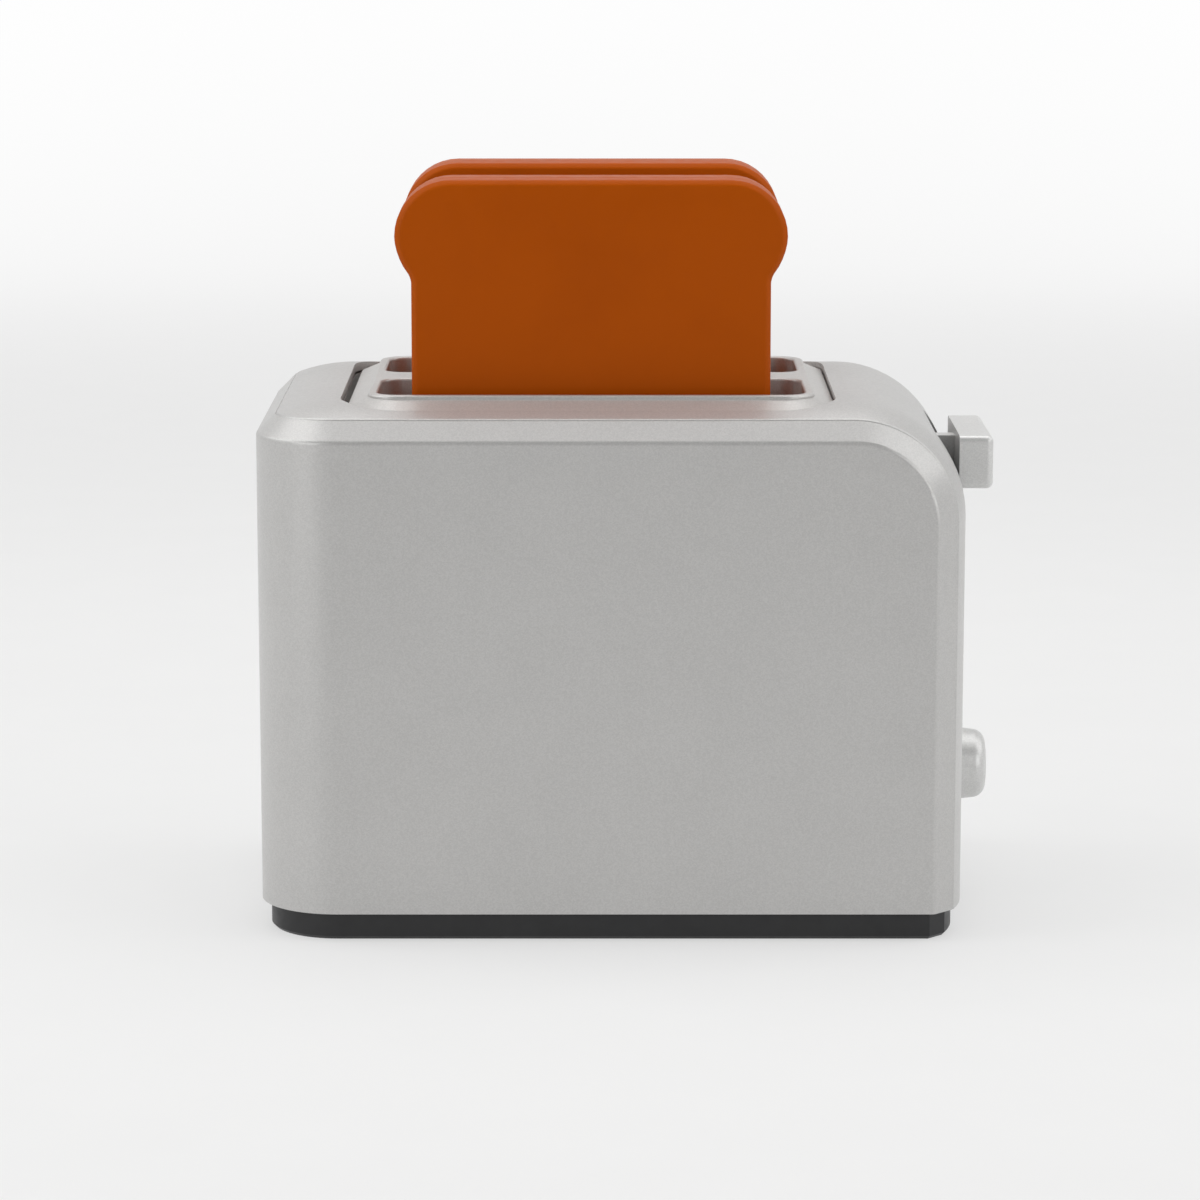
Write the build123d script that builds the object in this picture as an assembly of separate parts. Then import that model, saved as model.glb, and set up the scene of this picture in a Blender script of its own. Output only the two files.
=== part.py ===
"""A miniature pop-up toaster, piece by piece, in millimetres.

The long front side faces -Y, the lever end faces +X and up is +Z.
The table is z = 0 and the body is centred on x = 0, y = 0.
"""
import os
from math import asin, cos, sin, sqrt

from build123d import *

# Outside of the body
REAR_DECK = 30.0
LEVER_DECK = 40.0
SIDE_DECK = 19.25
DECK_HEIGHT = 133.0
SHELL_FOOT = 7.0
WALL = 2.2
SHOULDER_RADIUS = 28.5
EDGE_CHAMFER = 5.0
CROWN_WIDTH = 15.0
CROWN_DROP = 2.8
CREASE_ROUNDING = 1.5
RIDGE_ROUNDING = 0.8
SEAM_ROUNDING = 0.2
PANEL_LAP = 1.2

# Fits
SLIDE_GAP = 0.4
RUNNING_GAP = 0.06
SEAT_GAP = 0.1
OVERCUT = 2.0
QUARTER_TURN = 90

# Bread slots and their frame
SLOT_BRIDGE = 12.5
SLOT_CORNER = 5.0
RIM_WIDTH = 2.5
RIM_HEIGHT = 1.5
RIM_ROUNDING = 0.7
RIM_STEP = 1.0
FLANGE_WIDTH = 4.75
FLANGE_RISE = 2.0
GROOVE_WIDTH = 2.0
GROOVE_DEPTH = 7.0
GROOVE_AT_LEVER = 0.5
LEDGE = 1.8
CHUTE_WALL = 1.5
CHUTE_DEPTH = 37.0
SNAP_LENGTH = 10.0
SNAP_REACH = 1.2
SNAP_HEIGHT = 1.8
SNAP_SPACING = 60.0

# Toast
TOAST_BODY_WIDTH = 89.0
TOAST_LOBE_OVERHANG = 4.1
TOAST_HEIGHT = 93.5
TOAST_THICKNESS = 17.5
TOAST_END_GAP = 4.4
TOAST_PLAY = 13.0
TOAST_LOBE_RADIUS = 14.0
TOAST_NECK_RADIUS = 4.5
TOAST_FOOT_RADIUS = 5.0
TOAST_BEVEL = 2.2
TOAST_WALL = 1.8
TOAST_FACE = 2.0
TOAST_OUTWARD = 3.4

# Lever and its track in the lever end
LEVER_WIDTH = 38.6
LEVER_HEIGHT = 13.5
LEVER_THICKNESS = 8.6
LEVER_DROP = 18.2
LEVER_ROUNDING = 1.6
STEM_WIDTH = 5.0
STEM_HEIGHT = 9.0
STEM_LENGTH = 17.0
TRACK_DEPTH = 0.6
TRACK_MARGIN = 1.6
TRACK_OVERRUN = 4.0
WINDOW_DEPTH = 6.5
WINDOW_MARGIN = 1.5

# Carriage
ROD_RADIUS = 2.0
ROD_SETBACK = 20.0
ROD_SPACING = 34.0
ROD_SOCKET_RADIUS = 4.0
ROD_SOCKET_DEPTH = 6.0
BUSH_RADIUS = 4.5
SLAB_THICKNESS = 8.0
SLAB_FRONT = 7.0
SLAB_BACK = 11.5
BUSH_HEIGHT = 24.0
STEM_BLOCK_WIDTH = 12.0
STEM_BLOCK_BACK = 2.0
STEM_BLOCK_MARGIN = 1.6
REST_GAP = 2.5
REST_DROP = 5.0
REST_WIDTH = 8.0
REST_HEIGHT = 7.0
REST_SKIN = 1.8
REST_OVERHANG = 4.0
REST_STOP_HEIGHT = 4.0
NECK_THICKNESS = 5.0

# Return springs
SPRING_RADIUS = 4.6
SPRING_WIRE = 0.35
SPRING_TURNS = 9
POINTS_PER_ARC = 12
WIRE_SIDES = 6

# Knob, its cam and the catch
KNOB_HEIGHT = 33.0
KNOB_RADIUS = 9.5
KNOB_LENGTH = 8.6
KNOB_TAPER = 1.0
KNOB_ROUNDING = 3.4
SHAFT_RADIUS = 3.0
SHAFT_FLAT = 2.2
SHAFT_IN_KNOB = 6.0
SHAFT_BOSS_RADIUS = 5.5
SHAFT_BOSS_LENGTH = 7.0
COLLAR_RADIUS = 4.5
COLLAR_LENGTH = 1.5
SQUARE_SIDE = 5.4
SQUARE_LENGTH = 5.0
CAM_WIDTH = 14.0
CAM_HEIGHT = 8.0
CAM_LENGTH = 6.0
CATCH_RISE = 11.5
CLIP_THICKNESS = 1.2
CLIP_BARB = 2.0
CLIP_FOOT = 2.6
LEAF_THICKNESS = 0.6
LEAF_WIDTH = 4.2
LEAF_RISE = 6.0
LEAF_FOOT = 6.0

# Black button
BUTTON_Y = 16.0
BUTTON_Z = 19.0
BUTTON_RADIUS = 5.1
BUTTON_PROUD = 2.5
BUTTON_SKIRT = 6.0
BUTTON_ROUNDING = 1.0
BUTTON_STEM_RADIUS = 2.2
BUTTON_TUBE_RADIUS = 6.6
BUTTON_TUBE_LENGTH = 7.5
BUTTON_TUBE_FLOOR = 1.4
BUTTON_RING_RADIUS = 3.6
BUTTON_RING_LENGTH = 1.0
BUTTON_SPRING_RADIUS = 3.6
BUTTON_SPRING_WIRE = 0.25
BUTTON_SPRING_TURNS = 4

# Base plate and its screws
BASE_FLOOR = 2.5
BASE_WALL = 2.0
BASE_HEIGHT = 12.0
BASE_EDGE = 0.8
PAD_RADIUS = 5.4
PAD_HEIGHT = 8.0
PAD_SKIN = 3.0
SCREW_RADIUS = 1.5
SCREW_LENGTH = 12.0
SCREW_HEAD_RADIUS = 2.8
SCREW_HEAD_LENGTH = 2.0
SCREW_CLEARANCE = 0.2
HEAD_CLEARANCE = 0.5
BOSS_RADIUS = 4.0
BOSS_HEIGHT = 18.0
SHELL_SCREW_X = (-60.0, 30.0)
SHELL_SCREW_INSET = 10.0
END_SCREW_INSET = 11.0
END_SCREW_Y = 38.0

# Ribs and tongues inside the shells
RIB_THICKNESS = 1.4
RIB_DEPTH = 3.0
RIB_X = (-36.0, 0.0, 60.0)
RIB_FOOT = 14.0
RIB_TOP_MARGIN = 6.0
TONGUE_X = (-46.0, 0.0, 46.0)
TONGUE_LENGTH = 12.0
TONGUE_THICKNESS = 2.4
SEAM_TAB_WIDTH = 12.0
SEAM_TAB_THICKNESS = 1.6
SEAM_TAB_MARGIN = 24.0

# Places worked out from the sizes above
TOAST_WIDTH = TOAST_BODY_WIDTH + 2 * TOAST_LOBE_OVERHANG
SLOT_LENGTH = TOAST_WIDTH + 2 * TOAST_END_GAP
SLOT_WIDTH = TOAST_THICKNESS + TOAST_PLAY
SLOTS_DEPTH = SLOT_BRIDGE + 2 * SLOT_WIDTH
SLOT_CENTRE_X = (REAR_DECK - LEVER_DECK) / 2
BODY_LENGTH = SLOT_LENGTH + REAR_DECK + LEVER_DECK
BODY_DEPTH = SLOTS_DEPTH + 2 * SIDE_DECK
END_X = BODY_LENGTH / 2
SIDE_Y = BODY_DEPTH / 2
RIDGE_Y = SIDE_Y - EDGE_CHAMFER
FLAT_Y = RIDGE_Y - CROWN_WIDTH
CORNER_RADIUS = EDGE_CHAMFER + CROWN_WIDTH
CORNER_X = CORNER_RADIUS - END_X
CREASE_DROP = CROWN_DROP + EDGE_CHAMFER
CREASE_Z = DECK_HEIGHT - CREASE_DROP
PANEL_END_X = END_X - CREASE_DROP
SHOULDER_X = END_X - SHOULDER_RADIUS
SHOULDER_Z = DECK_HEIGHT - SHOULDER_RADIUS
CROWN_RADIUS = (CROWN_WIDTH**2 + CROWN_DROP**2) / (2 * CROWN_DROP)
INNER_END_X = END_X - WALL
INNER_DECK_Z = DECK_HEIGHT - WALL
CHAMFER_SKIN = WALL * sqrt(2)

SLOT_Y = (SLOT_BRIDGE + SLOT_WIDTH) / 2
CHUTE_FOOT_Z = DECK_HEIGHT - CHUTE_DEPTH
RIM_TOP_Z = DECK_HEIGHT + RIM_HEIGHT
FLANGE_TOP_Z = RIM_TOP_Z - RIM_STEP
FLANGE_EDGE_Z = FLANGE_TOP_Z - FLANGE_RISE
FLANGE_FOOT_Z = DECK_HEIGHT - GROOVE_DEPTH
LEDGE_FOOT_Z = FLANGE_FOOT_Z - LEDGE
FLANGE_REACH = RIM_WIDTH + FLANGE_WIDTH
RECESS_WALL_Y = SLOTS_DEPTH / 2 + FLANGE_REACH + GROOVE_WIDTH + WALL
TONGUE_Y = RECESS_WALL_Y + SEAT_GAP
CHUTE_LENGTH = SLOT_LENGTH + 2 * CHUTE_WALL
CHUTE_WIDTH = SLOT_WIDTH + 2 * CHUTE_WALL
CHUTES_DEPTH = SLOTS_DEPTH + 2 * CHUTE_WALL

REST_TOP_Z = CHUTE_FOOT_Z - REST_GAP
TOAST_Y = SLOT_Y + TOAST_OUTWARD
TOAST_FOOT_Z = REST_TOP_Z + SEAT_GAP

LEVER_TRAVEL = REST_TOP_Z + REST_DROP - KNOB_HEIGHT - CATCH_RISE
LEVER_Z = DECK_HEIGHT - LEVER_DROP
LEVER_BACK_X = END_X - TRACK_DEPTH + SLIDE_GAP
LEVER_FRONT_X = LEVER_BACK_X + LEVER_THICKNESS
STEM_END_X = LEVER_BACK_X - STEM_LENGTH
TRACK_WIDTH = LEVER_WIDTH + 2 * TRACK_MARGIN
WINDOW_BACK_X = END_X - WINDOW_DEPTH
WINDOW_FOOT_Z = LEVER_Z - LEVER_HEIGHT / 2 - WINDOW_MARGIN
LEVER_SLOT_WIDTH = STEM_WIDTH + 2 * SLIDE_GAP
LEVER_SLOT_TOP_Z = LEVER_Z + STEM_HEIGHT / 2 + 2 * SLIDE_GAP
LEVER_SLOT_FOOT_Z = LEVER_Z - STEM_HEIGHT / 2 - LEVER_TRAVEL - 2 * SLIDE_GAP

ROD_X = END_X - ROD_SETBACK
ROD_Y = ROD_SPACING / 2
SLAB_FOOT_Z = REST_TOP_Z + REST_DROP
SLAB_TOP_Z = SLAB_FOOT_Z + SLAB_THICKNESS
SLAB_WIDTH = 2 * TOAST_Y + REST_WIDTH
SLAB_FRONT_X = ROD_X + SLAB_FRONT
SLAB_BACK_X = ROD_X - SLAB_BACK
BUSH_TOP_Z = SLAB_FOOT_Z + BUSH_HEIGHT
ROD_TOP_Z = BUSH_TOP_Z + ROD_SOCKET_DEPTH - SLIDE_GAP
STEM_BLOCK_FRONT_X = WINDOW_BACK_X - WALL - 2 * SLIDE_GAP
SPRING_SEAT_Z = BASE_FLOOR + ROD_SOCKET_DEPTH
SPRING_SEAT_RADIUS = SPRING_RADIUS + SPRING_WIRE

SHAFT_BOSS_X = INNER_END_X - SHAFT_BOSS_LENGTH
COLLAR_END_X = SHAFT_BOSS_X - SLIDE_GAP
SQUARE_END_X = COLLAR_END_X - COLLAR_LENGTH
CAM_END_X = SQUARE_END_X - SQUARE_LENGTH
CAM_START_X = CAM_END_X - CAM_LENGTH
KNOB_BACK_X = END_X + SLIDE_GAP
CLIP_FOOT_Z = KNOB_HEIGHT - CAM_HEIGHT / 2 - SLIDE_GAP - CLIP_FOOT + LEVER_TRAVEL
CLIP_LEG_Y = CAM_WIDTH / 2 + SLIDE_GAP
LEAF_TOP_Z = KNOB_HEIGHT + LEAF_RISE

BUTTON_FRONT_X = END_X + BUTTON_PROUD
BUTTON_BACK_X = BUTTON_FRONT_X - BUTTON_SKIRT
BUTTON_TUBE_X = INNER_END_X - BUTTON_TUBE_LENGTH
BUTTON_FLOOR_X = BUTTON_TUBE_X - BUTTON_TUBE_FLOOR

END_SCREW_X = END_X - END_SCREW_INSET
SHELL_SCREW_Y = SIDE_Y - SHELL_SCREW_INSET
HEAD_SEAT_Z = PAD_HEIGHT - PAD_SKIN


def block(x_span, y_span, z_span):
    """Box between the given ends on each axis."""
    spans = (x_span, y_span, z_span)
    centre = [(start + end) / 2 for start, end in spans]
    size = [end - start for start, end in spans]
    return Pos(*centre) * Box(*size)


def upright(x, y, z_span, radius):
    """Round bar standing along Z."""
    start, end = z_span
    return Pos(x, y, (start + end) / 2) * Cylinder(radius, end - start)


def lengthwise(x_span, y, z, radius):
    """Round bar lying along X."""
    start, end = x_span
    return Pos((start + end) / 2, y, z) * Rot(0, QUARTER_TURN, 0) * Cylinder(radius, end - start)


def rounded_slab(length, depth, z_span, radius, x=0, y=0):
    """Slab with rounded upright edges, centred on x and y."""
    start, end = z_span
    return Pos(x, y, start) * extrude(RectangleRounded(length, depth, radius), end - start)


def both_sides(shape):
    """The shape and its mirror image across the middle plane."""
    return shape + mirror(shape, about=Plane.XZ)


def across_plane(x, z, forward):
    """Work plane with local x along the depth and local y outward from the body."""
    return Plane(origin=(x, 0, z), x_dir=(0, 1, 0), z_dir=forward)


def outward_plane(x, y, z, outward, forward):
    """Work plane with local x pointing outward and local y up."""
    return Plane(origin=(x, y, z), x_dir=outward, z_dir=forward)


def crown_points(depth):
    """Start, middle and end of the crown's arc at a depth below the outside."""
    radius = CROWN_RADIUS - depth
    angle = asin(CROWN_WIDTH / radius)
    start = (0, -depth)
    middle = (radius * sin(angle / 2), radius * cos(angle / 2) - CROWN_RADIUS)
    end = (CROWN_WIDTH, radius * cos(angle) - CROWN_RADIUS)
    return start, middle, end


def around_slots(reach, z_span, rounding):
    """Slab that reaches past the outline of both slots by the same distance all round."""
    length = SLOT_LENGTH + 2 * reach
    depth = SLOTS_DEPTH + 2 * reach
    return rounded_slab(length, depth, z_span, rounding, SLOT_CENTRE_X)


def rounded_at(section, point, radius):
    """The section with its corner at the point rounded."""
    corner = min(section.vertices(), key=lambda vertex: (Vector(*point) - Vector(vertex)).length)
    return fillet(corner, radius)


def crown_section():
    """Curved margin of the cover, from its flat middle out to the ridge."""
    outside = crown_points(0)
    inside = crown_points(WALL)
    edges = [
        ThreePointArc(*outside),
        Line(outside[2], inside[2]),
        ThreePointArc(*inside),
        Line(inside[0], outside[0]),
    ]
    return rounded_at(make_face(edges), outside[2], RIDGE_ROUNDING)


def cover_section():
    """Whole cross-section of the crowned cover."""
    outside = [(FLAT_Y + x, y) for x, y in crown_points(0)]
    inside = [(FLAT_Y + x, y) for x, y in crown_points(WALL)]
    margin = [ThreePointArc(*outside), Line(outside[2], inside[2]), ThreePointArc(*inside)]
    other_margin = [mirror(edge, about=Plane.YZ) for edge in margin]
    flats = [Line((-FLAT_Y, y), (FLAT_Y, y)) for y in (0, -WALL)]
    section = make_face(margin + other_margin + flats)
    section = rounded_at(section, (RIDGE_Y, -CROWN_DROP), RIDGE_ROUNDING)
    return rounded_at(section, (-RIDGE_Y, -CROWN_DROP), RIDGE_ROUNDING)


def along_shoulder(section, start_x):
    """Run a section along the deck, round the shoulder and down the lever end."""
    deck = extrude(across_plane(start_x, DECK_HEIGHT, (1, 0, 0)) * section, SHOULDER_X - start_x)
    bend_axis = Axis((SHOULDER_X, 0, SHOULDER_Z), (0, 1, 0))
    bend = revolve(across_plane(SHOULDER_X, DECK_HEIGHT, (1, 0, 0)) * section, bend_axis, QUARTER_TURN)
    end = extrude(across_plane(END_X, SHOULDER_Z, (0, 0, -1)) * section, SHOULDER_Z - SHELL_FOOT)
    return deck + bend + end


def rear_crown():
    """Crowned margin of the deck along the rear end and round its two corners."""
    section = crown_section()
    back = outward_plane(CORNER_X, -FLAT_Y, DECK_HEIGHT, (-1, 0, 0), (0, 1, 0))
    strip = extrude(back * section, 2 * FLAT_Y)
    corner_axis = Axis((CORNER_X, -FLAT_Y, 0), (0, 0, 1))
    corner = revolve(back * section, corner_axis, QUARTER_TURN)
    return strip + both_sides(corner)


def under_shoulder():
    """Round bar that fills the shoulder up to the middle of its wall."""
    bar = Cylinder(SHOULDER_RADIUS - WALL / 2, BODY_DEPTH)
    return Pos(SHOULDER_X, 0, SHOULDER_Z) * Rot(QUARTER_TURN, 0, 0) * bar


def screw_post(x, y, foot_z):
    """Boss that one base screw is driven into."""
    return upright(x, y, (foot_z, foot_z + BOSS_HEIGHT), BOSS_RADIUS)


def screw_hole(x, y):
    """Hole in a boss for one base screw."""
    return upright(x, y, (HEAD_SEAT_Z, HEAD_SEAT_Z + SCREW_LENGTH), SCREW_RADIUS)


def make_top_cover():
    """Deck, shoulder and lever end as one moulding."""
    cover = along_shoulder(cover_section(), CORNER_X) + rear_crown()
    half_track = TRACK_WIDTH / 2
    lever_window = block(
        (WINDOW_BACK_X, END_X + OVERCUT),
        (-half_track, half_track),
        (WINDOW_FOOT_Z, DECK_HEIGHT),
    )
    track_foot_z = LEVER_Z - LEVER_HEIGHT / 2 - LEVER_TRAVEL - TRACK_OVERRUN
    track = block(
        (END_X - TRACK_DEPTH, END_X + OVERCUT),
        (-half_track, half_track),
        (track_foot_z, WINDOW_FOOT_Z + OVERCUT),
    )
    half_slot = LEVER_SLOT_WIDTH / 2
    lever_slot = block(
        (WINDOW_BACK_X - WALL - OVERCUT, END_X + OVERCUT),
        (-half_slot, half_slot),
        (LEVER_SLOT_FOOT_Z, LEVER_SLOT_TOP_Z),
    )
    cover -= lever_window
    cover -= track
    cover -= lever_slot
    cover += frame_recess(WALL, (LEDGE_FOOT_Z, INNER_DECK_Z - RIM_ROUNDING))
    cover -= frame_recess(0, (FLANGE_FOOT_Z, DECK_HEIGHT + OVERCUT))
    opening_z = (LEDGE_FOOT_Z - OVERCUT, DECK_HEIGHT)
    opening_reach = CHUTE_WALL + SEAT_GAP
    cover -= around_slots(opening_reach, opening_z, SLOT_CORNER + opening_reach)
    cover += make_cover_fittings()
    return cover - make_cover_bores()


def frame_recess(wall, z_span):
    """Slab as large as the recess for the slot frame, and by a wall larger all round."""
    length = SLOT_LENGTH + 2 * FLANGE_REACH + GROOVE_WIDTH + GROOVE_AT_LEVER + 2 * wall
    depth = SLOTS_DEPTH + 2 * (FLANGE_REACH + GROOVE_WIDTH + wall)
    rounding = SLOT_CORNER + FLANGE_REACH + GROOVE_WIDTH + wall
    middle_x = SLOT_CENTRE_X + (GROOVE_AT_LEVER - GROOVE_WIDTH) / 2
    return rounded_slab(length, depth, z_span, rounding, middle_x)


def make_cover_bores():
    """Bores in the lever end for the knob's shaft, the button and the button's stem."""
    outside_x = END_X + OVERCUT
    shaft_x = (SHAFT_BOSS_X - OVERCUT, outside_x)
    stem_x = (BUTTON_FLOOR_X - OVERCUT, END_X)
    bores = lengthwise(shaft_x, 0, KNOB_HEIGHT, SHAFT_RADIUS + RUNNING_GAP)
    bores += lengthwise((BUTTON_TUBE_X, outside_x), BUTTON_Y, BUTTON_Z, BUTTON_RADIUS + SLIDE_GAP)
    bores += lengthwise(stem_x, BUTTON_Y, BUTTON_Z, BUTTON_STEM_RADIUS + RUNNING_GAP)
    return bores


def make_cover_fittings():
    """Rod sockets, shaft boss, button tube and screw posts inside the cover."""
    socket_z = (BUSH_TOP_Z + SLIDE_GAP, DECK_HEIGHT)
    socket = upright(ROD_X, ROD_Y, socket_z, ROD_SOCKET_RADIUS) & under_shoulder()
    socket -= upright(ROD_X, ROD_Y, (BUSH_TOP_Z, ROD_TOP_Z), ROD_RADIUS)
    fittings = both_sides(socket)
    mid_wall_x = END_X - WALL / 2
    fittings += lengthwise((SHAFT_BOSS_X, mid_wall_x), 0, KNOB_HEIGHT, SHAFT_BOSS_RADIUS)
    fittings += lengthwise((BUTTON_FLOOR_X, mid_wall_x), BUTTON_Y, BUTTON_Z, BUTTON_TUBE_RADIUS)
    post = screw_post(END_SCREW_X, END_SCREW_Y, PAD_HEIGHT)
    rib_y = (END_SCREW_Y - RIB_THICKNESS / 2, END_SCREW_Y + RIB_THICKNESS / 2)
    rib_z = (BASE_HEIGHT + SLIDE_GAP, PAD_HEIGHT + BOSS_HEIGHT)
    post += block((END_SCREW_X, mid_wall_x), rib_y, rib_z)
    post -= screw_hole(END_SCREW_X, END_SCREW_Y)
    fittings += both_sides(post)
    return fittings


def wall_section():
    """Side wall with its chamfered head; local x is 0 on the outside, local y is the height."""
    head_z = CREASE_Z + EDGE_CHAMFER
    inner_head_z = head_z - CHAMFER_SKIN
    points = [
        (0, SHELL_FOOT),
        (0, CREASE_Z),
        (-EDGE_CHAMFER, head_z),
        (-EDGE_CHAMFER, inner_head_z),
        (-WALL, inner_head_z - EDGE_CHAMFER + WALL),
        (-WALL, SHELL_FOOT),
    ]
    section = make_face(Polyline(*points, close=True))
    section = rounded_at(section, (0, CREASE_Z), CREASE_ROUNDING)
    return rounded_at(section, (-EDGE_CHAMFER, head_z), SEAM_ROUNDING)


def chamfer_section():
    """Chamfer strip along the deck and lever end; local x is the depth, local y outward."""
    inner_drop = CROWN_DROP + CHAMFER_SKIN
    foot_drop = CREASE_DROP + PANEL_LAP
    points = [
        (-SIDE_Y, -CREASE_DROP),
        (-RIDGE_Y, -CROWN_DROP),
        (-RIDGE_Y, -inner_drop),
        (WALL - SIDE_Y, WALL - EDGE_CHAMFER - inner_drop),
        (WALL - SIDE_Y, -foot_drop),
        (-SIDE_Y, -foot_drop),
    ]
    section = make_face(Polyline(*points, close=True))
    section = rounded_at(section, (-SIDE_Y, -CREASE_DROP), CREASE_ROUNDING)
    return rounded_at(section, (-RIDGE_Y, -CROWN_DROP), SEAM_ROUNDING)


def side_panel():
    """Flat long side with the rounded upper corner at the lever end."""
    end_x = PANEL_END_X - PANEL_LAP
    top_z = CREASE_Z - PANEL_LAP
    bend = end_x - SHOULDER_X
    middle = (SHOULDER_X + bend / sqrt(2), SHOULDER_Z + bend / sqrt(2))
    outline = [
        Line((CORNER_X, SHELL_FOOT), (end_x, SHELL_FOOT)),
        Line((end_x, SHELL_FOOT), (end_x, SHOULDER_Z)),
        ThreePointArc((end_x, SHOULDER_Z), middle, (SHOULDER_X, top_z)),
        Line((SHOULDER_X, top_z), (CORNER_X, top_z)),
        Line((CORNER_X, top_z), (CORNER_X, SHELL_FOOT)),
    ]
    front = Plane(origin=(0, WALL - SIDE_Y, 0), x_dir=(1, 0, 0), z_dir=(0, -1, 0))
    return extrude(front * make_face(outline), WALL)


def make_side_shell(with_tab):
    """Front shell: long side, rear corner and half of the rear end."""
    shell = side_panel() + along_shoulder(chamfer_section(), CORNER_X)
    corner_plane = outward_plane(CORNER_X, -FLAT_Y, 0, (-1, 0, 0), (0, 1, 0))
    wall = corner_plane * Pos(CORNER_RADIUS, 0) * wall_section()
    shell += revolve(wall, Axis((CORNER_X, -FLAT_Y, 0), (0, 0, 1)), QUARTER_TURN)
    shell += extrude(wall, FLAT_Y)
    inner_y = WALL - SIDE_Y
    for rib_x in RIB_X:
        shell += block(
            (rib_x - RIB_THICKNESS / 2, rib_x + RIB_THICKNESS / 2),
            (inner_y - WALL / 2, inner_y + RIB_DEPTH),
            (RIB_FOOT, CREASE_Z - RIB_TOP_MARGIN),
        )
    tongue_top_z = CREASE_Z + EDGE_CHAMFER - CHAMFER_SKIN - SEAT_GAP
    for tongue_x in TONGUE_X:
        shell += block(
            (tongue_x - TONGUE_LENGTH / 2, tongue_x + TONGUE_LENGTH / 2),
            (-RIDGE_Y - EDGE_CHAMFER / 2, -TONGUE_Y),
            (tongue_top_z - TONGUE_THICKNESS, tongue_top_z),
        )
    for screw_x in SHELL_SCREW_X:
        post = screw_post(screw_x, -SHELL_SCREW_Y, PAD_HEIGHT)
        post += block(
            (screw_x - RIB_THICKNESS / 2, screw_x + RIB_THICKNESS / 2),
            (inner_y - WALL / 2, -SHELL_SCREW_Y),
            (BASE_HEIGHT + SLIDE_GAP, PAD_HEIGHT + BOSS_HEIGHT),
        )
        shell += post - screw_hole(screw_x, -SHELL_SCREW_Y)
    if with_tab:
        shell += seam_tab()
    return shell


def seam_tab():
    """Tab behind the rear seam, fixed to the front shell and lying on the back one."""
    inner_x = WALL - END_X
    return block(
        (inner_x, inner_x + SEAM_TAB_THICKNESS),
        (-SEAM_TAB_WIDTH / 2, SEAM_TAB_WIDTH / 2),
        (SHELL_FOOT + SEAM_TAB_MARGIN, CREASE_Z - SEAM_TAB_MARGIN),
    )


def make_slot_frame():
    """Raised rim, bridge and the two chutes that lead the toast down."""
    flange_rounding = SLOT_CORNER + FLANGE_REACH
    rim_rounding = SLOT_CORNER + RIM_WIDTH
    frame = around_slots(FLANGE_REACH, (FLANGE_FOOT_Z, FLANGE_EDGE_Z), flange_rounding)
    flange_edge = frame.faces().sort_by(Axis.Z)[-1]
    rim = around_slots(RIM_WIDTH, (FLANGE_TOP_Z, RIM_TOP_Z), rim_rounding)
    rim_foot = rim.faces().sort_by(Axis.Z)[0]
    frame += loft([flange_edge, rim_foot], ruled=True)
    frame += rim
    chute_z = (CHUTE_FOOT_Z, FLANGE_EDGE_Z)
    for slot_y in (-SLOT_Y, SLOT_Y):
        frame += rounded_slab(
            CHUTE_LENGTH, CHUTE_WIDTH, chute_z, SLOT_CORNER + CHUTE_WALL, SLOT_CENTRE_X, slot_y
        )
    for slot_y in (-SLOT_Y, SLOT_Y):
        slot_z = (CHUTE_FOOT_Z - OVERCUT, RIM_TOP_Z + OVERCUT)
        frame -= rounded_slab(SLOT_LENGTH, SLOT_WIDTH, slot_z, SLOT_CORNER, SLOT_CENTRE_X, slot_y)
    frame = fillet(frame.faces().sort_by(Axis.Z)[-1].edges(), RIM_ROUNDING)
    snap_z = (LEDGE_FOOT_Z - SEAT_GAP - SNAP_HEIGHT, LEDGE_FOOT_Z - SEAT_GAP)
    snap_start_y = CHUTES_DEPTH / 2 - CHUTE_WALL / 2
    snap_end_y = CHUTES_DEPTH / 2 + SNAP_REACH
    for snap_x in (SLOT_CENTRE_X - SNAP_SPACING / 2, SLOT_CENTRE_X + SNAP_SPACING / 2):
        snap_x_span = (snap_x - SNAP_LENGTH / 2, snap_x + SNAP_LENGTH / 2)
        frame += both_sides(block(snap_x_span, (snap_start_y, snap_end_y), snap_z))
    return frame


def plan_outline():
    """Outline of the body seen from above."""
    crown_middle = crown_points(0)[1]
    ridge_x = END_X - CROWN_DROP
    corner_bend = CORNER_RADIUS / sqrt(2)
    half = [
        ThreePointArc(
            (-END_X, -FLAT_Y),
            (CORNER_X - corner_bend, -FLAT_Y - corner_bend),
            (CORNER_X, -SIDE_Y),
        ),
        Line((CORNER_X, -SIDE_Y), (PANEL_END_X, -SIDE_Y)),
        Line((PANEL_END_X, -SIDE_Y), (ridge_x, -RIDGE_Y)),
        ThreePointArc(
            (ridge_x, -RIDGE_Y),
            (END_X + crown_middle[1], -FLAT_Y - crown_middle[0]),
            (END_X, -FLAT_Y),
        ),
    ]
    other_half = [mirror(edge, about=Plane.XZ) for edge in half]
    ends = [Line((END_X, -FLAT_Y), (END_X, FLAT_Y)), Line((-END_X, FLAT_Y), (-END_X, -FLAT_Y))]
    return make_face(half + other_half + ends)


def screw_places():
    """Places of the six base screws."""
    places = [(END_SCREW_X, -END_SCREW_Y), (END_SCREW_X, END_SCREW_Y)]
    for screw_x in SHELL_SCREW_X:
        places.append((screw_x, -SHELL_SCREW_Y))
        places.append((screw_x, SHELL_SCREW_Y))
    return places


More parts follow.
